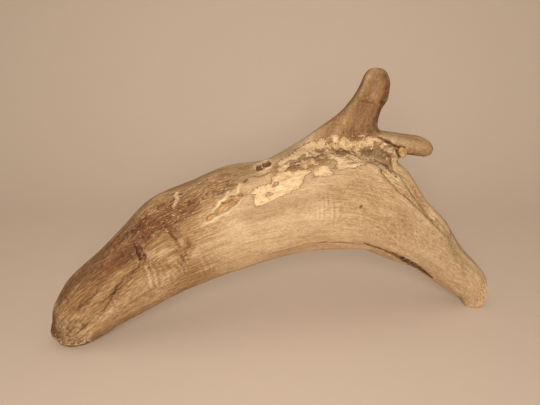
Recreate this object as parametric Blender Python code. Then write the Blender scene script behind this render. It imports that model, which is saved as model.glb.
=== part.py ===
"""A piece of driftwood: one bent limb that stands like a bridge on its two ends.

At the crown of the bend grow a tall prong, a short prong and the stub of a twig. The wood grew as one
piece, so it is one object. It is lofted limb by limb, grown together under one skin, worn by strokes and
rough patches, and then cut by its cracks and by the floor. The model's units are metres; the lists below
are in millimetres. +Z is up and +X runs from the broad foot to the narrow one.
"""

import math
from collections import namedtuple

import bmesh
import bpy
import numpy as np
from mathutils import Matrix, Vector, noise

MM = 0.001

# A station is a cross-section of a limb: its centre, and half its height and half its thickness there.
Station = namedtuple("Station", "x y z rise depth")

BROAD_LIMB = [
    Station(-199.5, -30.5, 6, 8.5, 10),
    Station(-190, -29.5, 10, 18, 18),
    Station(-180.5, -28.5, 21, 25, 23),
    Station(-170.5, -26.5, 31.5, 29, 25),
    Station(-158.5, -24.5, 42.5, 31.5, 26.5),
    Station(-134.5, -20.5, 58.5, 34, 29),
    Station(-111, -15.5, 76, 39, 32),
    Station(-90.5, -11.5, 90, 44.5, 35),
    Station(-63.5, -6.5, 100.5, 45.5, 36),
    Station(-34.5, -2.5, 110.5, 47, 36),
    Station(-6.5, 0.5, 116.5, 44.5, 36),
    Station(16.5, 3.5, 123, 46, 37),
    Station(38.5, 5.5, 124.5, 46, 38),
    Station(62.5, 7.5, 122.5, 45, 38),
    Station(80.5, 9.5, 121, 40, 34),
    Station(94.5, 10.5, 119, 28, 26),
    Station(102.5, 11.5, 117, 12, 14),
]
NARROW_LIMB = [
    Station(56.5, 7.5, 137, 20, 20),
    Station(66.5, 8, 129.5, 38, 33),
    Station(79.5, 9.5, 118, 43.5, 37),
    Station(95, 12.5, 104.5, 38.5, 34),
    Station(110, 15.5, 92, 33.5, 30),
    Station(132.5, 21.5, 76, 27, 25.5),
    Station(154.5, 27.5, 52.5, 21.5, 21),
    Station(181.5, 33.5, 28, 19.5, 18),
    Station(189.5, 35.5, 18.5, 16.5, 16.5),
    Station(192.5, 36, 7, 12.5, 14),
    Station(193.5, 36.5, -5, 9.5, 12),
]
TALL_PRONG = [
    Station(-7.5, 11.5, 120, 33, 20),
    Station(15.5, 17.5, 132, 36, 22),
    Station(39.5, 23.5, 153.5, 29.5, 22),
    Station(61, 29.5, 176, 22.5, 18),
    Station(72, 33.5, 196, 14.5, 14.5),
    Station(77.5, 35.5, 207.5, 12, 13.5),
    Station(81.5, 37.5, 216.5, 12, 13),
    Station(82.5, 38.5, 225, 11, 12),
    Station(83.5, 39.5, 232, 7, 8),
]
PRONG_KNOB = [
    Station(81.5, 34.5, 206.5, 8, 9),
    Station(88.5, 34.5, 206.5, 6.5, 8),
    Station(93, 33.5, 206, 3, 4),
]
SHORT_PRONG = [
    Station(69.5, 21.5, 161, 18, 20),
    Station(92.5, 27.5, 166.5, 12.5, 16),
    Station(108.5, 32.5, 165.5, 10, 12),
    Station(121.5, 36.5, 163, 9.8, 10),
    Station(131.5, 39.5, 159, 8.5, 9),
    Station(137.5, 41.5, 155, 5, 5.5),
]
TWIG_STUB = [
    Station(85.5, 11.5, 159, 9, 8),
    Station(98.5, 7.5, 164, 5.8, 6),
    Station(105.5, 4.5, 166.5, 5.2, 5.5),
]

# Cracks are slots with the same kind of sections as the limbs, cut out of the wood.
UNDERSIDE_CRACK = [
    Station(74.5, -17, 90, 0.4, 2),
    Station(90.5, -12.5, 83.5, 1.1, 8),
    Station(106.5, -5.5, 73, 1.7, 11),
    Station(123.5, 5.5, 59, 1.8, 11),
    Station(137.5, 12.5, 46, 1, 7),
    Station(146.5, 15.5, 38.5, 0.4, 2),
]
CRACK_OVER_STUB = [
    Station(85.5, 14.5, 177, 0.5, 2),
    Station(91.5, 11.5, 173.5, 1.2, 5),
    Station(98.5, 10.5, 169.5, 1.4, 6),
    Station(107.5, 15.5, 168, 0.6, 3),
]

# A stroke is a mark worn along a line: how far it raises the wood (a negative height cuts in), the share
# of its reach over which it fades out, and the points (x, y, z, reach) that it passes.
Stroke = namedtuple("Stroke", "height fade line")

STROKES = {
    "ridge down the narrow limb": Stroke(2.6, 1, [
        (56.5, -14.5, 162, 5), (69.5, -11.5, 162, 6), (82.5, -11.5, 156, 7), (94.5, -17.5, 144, 8),
        (108.5, -16.5, 126, 7), (130.5, -5.5, 102, 5), (151.5, 4.5, 82, 3),
    ]),
    "pale strip behind the ridge": Stroke(-3.4, 0.9, [
        (88.5, 2.5, 163, 6), (99.5, -0.5, 154, 8), (111.5, -6.5, 138, 9), (127.5, 1.5, 116, 8),
        (142.5, 3.5, 96, 5),
    ]),
    "pale band over the crown": Stroke(-1.7, 0.3, [
        (-17.5, -31.5, 137, 4), (-5.5, -25.5, 147, 9), (10.5, -20.5, 157, 13), (31.5, -10.5, 166, 16),
        (53.5, -0.5, 169, 17), (71.5, 2.5, 168, 14), (83.5, 6.5, 169, 8),
    ]),
    "hollow at the head of the strip": Stroke(-2.4, 0.8, [
        (70.5, 2.5, 168, 8), (87.5, 1.5, 161, 8), (95.5, -2.5, 155, 5),
    ]),
    "gouge": Stroke(-5, 0.9, [
        (-59.5, -36.5, 123, 3), (-50.5, -33.5, 132, 6), (-40.5, -31.5, 136, 7), (-30.5, -28.5, 142, 4),
    ]),
    "swelling round the knot hole": Stroke(1.8, 1, [(-18.5, -10.5, 157, 12), (-12.5, -5.5, 160, 11)]),
    "left pit of the knot hole": Stroke(-6, 0.8, [(-20, -11.5, 156.8, 3.6), (-17.5, -9.5, 158, 3.6)]),
    "right pit of the knot hole": Stroke(-6, 0.8, [(-14, -6.5, 159.6, 3.6), (-11.5, -4.5, 160.6, 3.6)]),
    "small dark pit": Stroke(-3, 0.9, [(-30.5, -22.5, 149.5, 2.6), (-29.5, -21.5, 150.5, 2.6)]),
    "hollow left of the crevice": Stroke(-3, 1, [(-137.5, -40.5, 88, 12), (-122.5, -43.5, 88, 13)]),
    "crevice": Stroke(-6.5, 0.8, [
        (-120.5, -39.5, 100, 2.4), (-118, -43, 95, 3.2), (-115.5, -45.5, 89, 3.4), (-112.5, -44.5, 93, 2.4),
    ]),
    "groove along the broad limb": Stroke(-2.2, 0.9, [
        (-115.5, -45.5, 87, 4), (-133.5, -47.5, 71, 5), (-140.5, -49.5, 60, 5), (-147.5, -50, 47, 5),
        (-170.5, -51, 27, 3.5),
    ]),
    "crease in the rotted face": Stroke(-3.2, 0.9, [
        (-94.5, -37.5, 119, 5), (-89.5, -41.5, 113, 6), (-85.5, -43.5, 107, 4),
    ]),
    "pale swelling": Stroke(2.6, 1, [(-106.5, -44.5, 93, 12), (-91.5, -44.5, 96, 13)]),
    "valley right of the swelling": Stroke(-2.6, 0.9, [
        (-75.5, -43.5, 104, 5), (-77.5, -44.5, 99, 6), (-82.5, -45.5, 90, 6),
    ]),
    "hump over the broad limb": Stroke(2, 1, [(-108.5, -24.5, 123, 16), (-99.5, -18.5, 128, 16)]),
    "hump before the knot hole": Stroke(2.2, 1, [(-55.5, -14.5, 146, 16), (-45.5, -10.5, 150, 16)]),
    "hollow under the broad limb": Stroke(-4, 1, [
        (-129.5, -18.5, 22, 8), (-93, -14, 42, 14), (-58, -6, 58, 16), (-9.5, -3, 72, 8),
    ]),
    "keel inside the bend": Stroke(1.5, 1, [
        (20.5, -14.5, 84, 6), (50.5, -14.5, 85, 10), (78.5, -8.5, 82, 6),
    ]),
    "long hollow down the back": Stroke(-5, 1, [
        (-160, -2, 58, 4), (-126, 9, 70, 13), (-90, 21, 88, 17), (-58, 30, 96, 15), (-23, 35, 110, 19),
        (14, 40, 112, 17), (48, 43, 122, 5),
    ]),
    "long ridge down the back": Stroke(3.5, 1, [
        (-138, 0, 88, 4), (-104, 10, 106, 12), (-68, 20, 119, 15), (-28, 28, 128, 10), (6, 33, 139, 14),
        (42, 39, 146, 5),
    ]),
    "hollow behind the narrow limb": Stroke(-4, 1, [
        (66, 42, 122, 4), (86, 44, 100, 14), (112, 45, 86, 15), (140, 47, 58, 11), (168, 50, 34, 4),
    ]),
    "groove up the tall prong": Stroke(-1.6, 1, [
        (56.5, 39.5, 178, 7), (74.5, 45.5, 200, 6), (80.5, 47.5, 218, 5),
    ]),
    "dark hole under the stub": Stroke(-4, 0.9, [(97.5, 4.5, 160, 3.6), (99.5, 2.5, 161, 3.2)]),
    "swelling at the broad foot's tip": Stroke(3.5, 1, [(-199, -38, 15, 11), (-201, -32, 12, 11)]),
    "flat over that tip": Stroke(-1, 1, [(-189, -37, 52, 12), (-194, -30, 47, 11)]),
    "notch in the narrow foot's end": Stroke(-3, 0.9, [(207.5, 27.5, 19, 4), (209.5, 37.5, 17, 4)]),
    "second notch in that end": Stroke(-2.5, 0.9, [(201.5, 25.5, 8, 4), (204.5, 35.5, 6, 4)]),
}

# Low ribs that cross the grain below the crevice, like a washboard.
RIB_COUNT = 5
RIB = Stroke(1.1, 1, [(-113, -46, 83, 2.7), (-109.5, -47, 72, 3), (-109, -45, 59, 2.7)])
RIB_SHIFT = (5.2, 0.5, 0.4, 0)

# A rough patch is gnawed ground: its middle, how far it reaches, its depth and the size of its lumps.
Patch = namedtuple("Patch", "x y z reach depth lump")

PATCHES = [
    Patch(-91.5, -36.5, 118, 32, 1.7, 7),
    Patch(-63.5, -32.5, 130, 24, 1.4, 6),
    Patch(-199.5, -34.5, 16, 20, 1.8, 6),
    Patch(206.5, 37.5, 14, 16, 2, 6),
    Patch(94.5, 7.5, 170, 14, 1.4, 5),
    Patch(94.5, 32.5, 207, 9, 1, 4),
]

# Flutes run along every limb, and broad swellings cross them.
FLUTE_HEIGHT = 1.5
FLUTES_ACROSS = 2.6
FLUTE_LENGTH = 85
SWELL_HEIGHT = 1.6
SWELL_SIZE = 48

RING_STEP = 6 * MM
RING_SIDES = 28
VOXEL = 2.1 * MM
TRIANGLES = 10400
FLOOR_BLOCK = (600, 300, 40)

WOOD_COLOUR = (0.52, 0.36, 0.2, 1)
WOOD_ROUGHNESS = 0.85


def clear_scene():
    for obj in list(bpy.data.objects):
        bpy.data.objects.remove(obj, do_unlink=True)


def add_object(name, mesh):
    obj = bpy.data.objects.new(name, mesh)
    bpy.context.scene.collection.objects.link(obj)
    return obj


def apply_modifiers(obj):
    """Puts the evaluated mesh in place of the object's own and drops its modifiers."""
    bpy.context.view_layer.update()
    graph = bpy.context.evaluated_depsgraph_get()
    mesh = bpy.data.meshes.new_from_object(obj.evaluated_get(graph))
    obj.modifiers.clear()
    obj.data = mesh


def catmull_rom(rows, share):
    """The value between the second and third of four rows."""
    before, start, end, after = rows
    return 0.5 * (
        2 * start
        + (end - before) * share
        + (2 * before - 5 * start + 4 * end - after) * share**2
        + (3 * start - before - 3 * end + after) * share**3
    )


def smooth_line(stations):
    """The stations as rows of numbers in metres, with smooth rows added between them every RING_STEP."""
    rows = [np.array(station) * MM for station in stations]
    padded = [2 * rows[0] - rows[1], *rows, 2 * rows[-1] - rows[-2]]
    line = []
    for index in range(len(rows) - 1):
        span = np.linalg.norm(rows[index + 1][:3] - rows[index][:3])
        count = max(1, round(span / RING_STEP))
        for step in range(count):
            line.append(catmull_rom(padded[index : index + 4], step / count))
    line.append(rows[-1])
    return np.array(line)


def section_axes(centres):
    """For each centre along a limb, the way that its rise and its depth are measured."""
    tangents = np.gradient(centres, axis=0)
    tangents /= np.linalg.norm(tangents, axis=1)[:, None]
    away = np.array((0.0, 1.0, 0.0))
    depth = away - (tangents @ away)[:, None] * tangents
    depth /= np.linalg.norm(depth, axis=1)[:, None]
    return np.cross(depth, tangents), depth


def make_limb(name, stations):
    """A closed tube of oval sections through the stations."""
    line = smooth_line(stations)
    rise_axes, depth_axes = section_axes(line[:, :3])
    shape = bmesh.new()
    rings = []
    for row, rise_axis, depth_axis in zip(line, rise_axes, depth_axes):
        ring = []
        for side in range(RING_SIDES):
            turn = 2 * math.pi * side / RING_SIDES
            offset = rise_axis * row[3] * math.cos(turn) + depth_axis * row[4] * math.sin(turn)
            ring.append(shape.verts.new(row[:3] + offset))
        rings.append(ring)
    for ring, following in zip(rings, rings[1:]):
        for side in range(RING_SIDES):
            beside = (side + 1) % RING_SIDES
            shape.faces.new((ring[side], ring[beside], following[beside], following[side]))
    shape.faces.new(rings[0][::-1])
    shape.faces.new(rings[-1])
    bmesh.ops.recalc_face_normals(shape, faces=shape.faces)
    mesh = bpy.data.meshes.new(name)
    shape.to_mesh(mesh)
    shape.free()
    return add_object(name, mesh)


def join(wood, limb):
    """Fuses a limb to the wood."""
    union = wood.modifiers.new("join", "BOOLEAN")
    union.operation = "UNION"
    union.object = limb
    apply_modifiers(wood)
    bpy.data.objects.remove(limb)


def cut(wood, cutter):
    """Takes the cutter's shape out of the wood."""
    cutter.hide_render = True
    cutter.display_type = "WIRE"
    slot = wood.modifiers.new("cut", "BOOLEAN")
    slot.operation = "DIFFERENCE"
    slot.object = cutter
    apply_modifiers(wood)
    bpy.data.objects.remove(cutter)


def grow_together(wood):
    """An even skin over the joined limbs, with their corners relaxed into fillets."""
    skin = wood.modifiers.new("skin", "REMESH")
    skin.mode = "VOXEL"
    skin.voxel_size = VOXEL
    relax = wood.modifiers.new("relax", "SMOOTH")
    relax.factor = 0.5
    relax.iterations = 16
    apply_modifiers(wood)


def mesh_values(mesh, name):
    """A vector for each vertex of a mesh: its "co" or its "normal", as rows of numbers."""
    source = mesh.vertices if name == "co" else mesh.vertex_normals
    values = np.empty(3 * len(source))
    source.foreach_get("co" if name == "co" else "vector", values)
    return values.reshape(-1, 3)


def fade_out(distance, fade):
    """1 at the middle of a mark and 0 at its edge, where distance is 1, with an S-curve over the fade."""
    share = np.clip((1 - distance) / fade, 0, 1)
    return share**2 * (3 - 2 * share)


def stroke_height(points, stroke):
    """How far a stroke raises each point."""
    line = np.array(stroke.line) * MM
    lift = np.zeros(len(points))
    for start, end in zip(line, line[1:]):
        run = end[:3] - start[:3]
        share = np.clip((points - start[:3]) @ run / (run @ run), 0, 1)
        gap = np.linalg.norm(points - start[:3] - share[:, None] * run, axis=1)
        reach = start[3] + (end[3] - start[3]) * share
        lift = np.maximum(lift, fade_out(gap / reach, stroke.fade))
    return lift * stroke.height * MM


def lumps(points, size, seed):
    """Smooth noise between -1 and 1 for each point, with lumps of the given size in millimetres."""
    shift = Vector((seed, 0, 0))
    return np.array([noise.noise(Vector(point) + shift) for point in points / (size * MM)])


def patch_height(points, patch):
    """How far a rough patch lowers each point."""
    gap = np.linalg.norm(points - np.array(patch[:3]) * MM, axis=1) / (patch.reach * MM)
    worn = np.minimum(lumps(points, patch.lump, patch.x), 0)
    return 2 * worn * fade_out(gap, 0.5) * patch.depth * MM


def flute_height(points, stations, seed):
    """Ridges along one limb at each point, and how near its axis the point lies for the limb's size."""
    line = smooth_line(stations)
    centres = line[:, :3]
    rise_axes, depth_axes = section_axes(centres)
    steps = np.linalg.norm(np.diff(centres, axis=0), axis=1)
    lengths = np.concatenate(([0], np.cumsum(steps)))
    nearest = np.argmin([np.linalg.norm(points - centre, axis=1) for centre in centres], axis=0)
    gaps = points - centres[nearest]
    up = (gaps * rise_axes[nearest]).sum(axis=1) / line[nearest, 3]
    across = (gaps * depth_axes[nearest]).sum(axis=1) / line[nearest, 4]
    along = np.cross(depth_axes, rise_axes)[nearest]
    travel = (lengths[nearest] + (gaps * along).sum(axis=1)) / (FLUTE_LENGTH * MM)
    turned = np.column_stack((up * FLUTES_ACROSS, across * FLUTES_ACROSS, travel)) * MM
    return lumps(turned, 1, seed), np.linalg.norm(gaps, axis=1) / line[nearest, 3]


def flutes(points, limbs):
    """The flutes of every limb, blended where limbs meet."""
    total = np.zeros(len(points))
    weights = np.zeros(len(points))
    for seed, stations in enumerate(limbs):
        height, nearness = flute_height(points, stations, 10 * seed)
        weight = np.exp(-8 * nearness)
        total += weight * height
        weights += weight
    return total / weights * FLUTE_HEIGHT * MM


def ribs():
    """The washboard ribs as strokes, side by side."""
    for index in range(RIB_COUNT):
        line = [tuple(value + index * shift for value, shift in zip(point, RIB_SHIFT)) for point in RIB.line]
        yield RIB._replace(line=line)


def weather(wood, limbs):
    """Moves the skin in and out: flutes, swellings, strokes, ribs and rough patches."""
    mesh = wood.data
    points = mesh_values(mesh, "co")
    normals = mesh_values(mesh, "normal")
    lift = flutes(points, limbs) + lumps(points, SWELL_SIZE, 3) * SWELL_HEIGHT * MM
    for stroke in [*STROKES.values(), *ribs()]:
        lift += stroke_height(points, stroke)
    for patch in PATCHES:
        lift += patch_height(points, patch)
    mesh.vertices.foreach_set("co", (points + normals * lift[:, None]).ravel())
    mesh.update()


def thin_out(wood):
    """Fewer, larger triangles where the skin is smooth."""
    wood.data.calc_loop_triangles()
    thin = wood.modifiers.new("thin", "DECIMATE")
    thin.ratio = TRIANGLES / len(wood.data.loop_triangles)
    apply_modifiers(wood)


def floor_block():
    """A block whose top is the floor: it leaves a flat spot under each foot."""
    mesh = bpy.data.meshes.new("floor_block")
    shape = bmesh.new()
    bmesh.ops.create_cube(shape, size=MM)
    bmesh.ops.scale(shape, vec=FLOOR_BLOCK, verts=shape.verts)
    bmesh.ops.translate(shape, vec=(0, 0, -FLOOR_BLOCK[2] / 2 * MM), verts=shape.verts)
    shape.to_mesh(mesh)
    shape.free()
    return add_object("floor_block", mesh)


def centre_on_floor(wood):
    """Puts the origin on the floor, under the middle of the wood's bounding box."""
    points = mesh_values(wood.data, "co")
    middle = (points.min(axis=0) + points.max(axis=0)) / 2
    wood.data.transform(Matrix.Translation((-middle[0], -middle[1], 0)))


def add_material(wood):
    material = bpy.data.materials.new("weathered_wood")
    material.use_nodes = True
    shader = material.node_tree.nodes["Principled BSDF"]
    shader.inputs["Base Color"].default_value = WOOD_COLOUR
    shader.inputs["Roughness"].default_value = WOOD_ROUGHNESS
    shader.inputs["Metallic"].default_value = 0
    wood.data.materials.clear()
    wood.data.materials.append(material)
    wood.data.shade_smooth()


def main():
    clear_scene()
    limbs = [BROAD_LIMB, NARROW_LIMB, TALL_PRONG, SHORT_PRONG]
    wood = make_limb("driftwood", BROAD_LIMB)
    for stations in (NARROW_LIMB, TALL_PRONG, PRONG_KNOB, SHORT_PRONG, TWIG_STUB):
        join(wood, make_limb("limb", stations))
    grow_together(wood)
    weather(wood, limbs)
    thin_out(wood)
    for stations in (UNDERSIDE_CRACK, CRACK_OVER_STUB):
        cut(wood, make_limb("crack", stations))
    cut(wood, floor_block())
    centre_on_floor(wood)
    add_material(wood)


main()
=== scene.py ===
"""The looks of a weathered piece of driftwood: a bent limb on its two ends, with two prongs and a twig stub.

One fine skin stands for the plain wood. It is relaxed, worn by marks, peeled down to a cream layer over the
crown and roughened along the grain, and loose fibres stand up where it has frayed. Lengths in the lists are
millimetres, in the same frame as the plain wood: +X runs from the broad foot to the narrow one, +Z is up.
"""

import math
from collections import namedtuple
from functools import partial, reduce
from itertools import product

import bmesh
import bpy
import numpy as np
from bpy.props import FloatProperty, FloatVectorProperty, IntProperty, PointerProperty
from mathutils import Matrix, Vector


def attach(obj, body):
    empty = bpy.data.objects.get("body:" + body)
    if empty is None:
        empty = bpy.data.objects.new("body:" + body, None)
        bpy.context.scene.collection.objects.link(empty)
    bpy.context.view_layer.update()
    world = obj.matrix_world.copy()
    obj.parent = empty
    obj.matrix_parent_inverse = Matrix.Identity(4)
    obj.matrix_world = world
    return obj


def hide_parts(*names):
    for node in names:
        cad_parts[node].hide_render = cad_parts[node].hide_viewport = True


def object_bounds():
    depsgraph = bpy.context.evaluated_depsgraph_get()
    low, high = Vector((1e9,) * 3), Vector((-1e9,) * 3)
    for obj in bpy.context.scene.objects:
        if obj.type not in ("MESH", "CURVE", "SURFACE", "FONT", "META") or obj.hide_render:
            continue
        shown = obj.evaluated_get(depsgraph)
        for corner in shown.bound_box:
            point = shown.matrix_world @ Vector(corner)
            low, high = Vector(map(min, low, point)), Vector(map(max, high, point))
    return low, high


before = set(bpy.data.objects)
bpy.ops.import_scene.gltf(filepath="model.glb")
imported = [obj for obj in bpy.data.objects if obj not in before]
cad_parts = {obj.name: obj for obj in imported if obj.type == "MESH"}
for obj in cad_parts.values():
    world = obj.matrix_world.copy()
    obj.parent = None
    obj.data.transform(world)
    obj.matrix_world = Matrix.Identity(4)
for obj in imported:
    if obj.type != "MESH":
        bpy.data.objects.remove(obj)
CAD_LOW, CAD_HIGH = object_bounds()

bl_info = {
    "name": "Driftwood dresser",
    "version": (1, 0, 0),
    "blender": (4, 5, 0),
    "location": "3D View > Sidebar > Driftwood",
    "description": "Dresses a plain piece of driftwood with worn layers, cracks, grain and loose fibres",
    "category": "Object",
}

MM = 0.001
MOST_TRIANGLES = 200_000

# The heart line of each limb, as points (x, y, z, radius). A limb that branches off counts its length from
# where it leaves the main one, so that the grain runs on into it.
Limb = namedtuple("Limb", "leaves_at line")

LIMBS = [
    Limb(0, [
        (-203, -31, 2, 14), (-180.5, -28.5, 22, 25), (-158.5, -24.5, 43, 29), (-134.5, -20.5, 59, 32),
        (-111, -15.5, 76, 36), (-90.5, -11.5, 90, 40), (-63.5, -6.5, 101, 42), (-34.5, -2.5, 111, 42),
        (-6.5, 0.5, 117, 41), (16.5, 3.5, 121.5, 42), (38.5, 5.5, 123, 42), (60, 7.5, 121, 42),
        (79.5, 9.5, 114.5, 40), (95, 12.5, 103, 36), (110, 15.5, 90.5, 32), (132.5, 21.5, 72, 26),
        (154.5, 27.5, 51.5, 21), (181.5, 33.5, 27, 19), (193, 36, 4, 13), (194, 36.5, -10, 12),
    ]),
    Limb(232, [
        (19, 17.5, 134, 30), (39.5, 23.5, 153.5, 26), (61, 29.5, 176, 20), (72, 33.5, 196, 14.5),
        (79, 36.5, 212, 12.5), (83.5, 39.5, 233, 10),
    ]),
    Limb(290, [
        (62, 19, 157, 22), (79, 24, 164, 17), (92.5, 27.5, 166.5, 14), (108.5, 32.5, 165.5, 11),
        (131.5, 39.5, 159, 9), (140, 42, 153, 6),
    ]),
    Limb(310, [(82, 13, 158, 9), (95, 8.5, 163.5, 6.5), (107, 3.5, 168, 5.5)]),
]
# The spacing of points on a smoothed heart line, and how strongly the nearest limb wins at a fork.
LIMB_STEP = 4
LIMB_PULL = 7

# A mark is worn or stained along a line of points (x, y, z, reach). Fade is the share of its reach over
# which it dies out, height is how far it raises the wood, and the rest say how strongly it stains,
# roughens, ripples, frays or breaks it. Part of the dark stain is painted shade in cracks, holes and pits.
TINTS = ("tone", "rust", "ochre", "soot", "olive", "rough", "ripple", "fray", "broken")
Mark = namedtuple("Mark", ("line", "fade", "height") + TINTS, defaults=(1, 0) + (0,) * len(TINTS))

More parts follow.
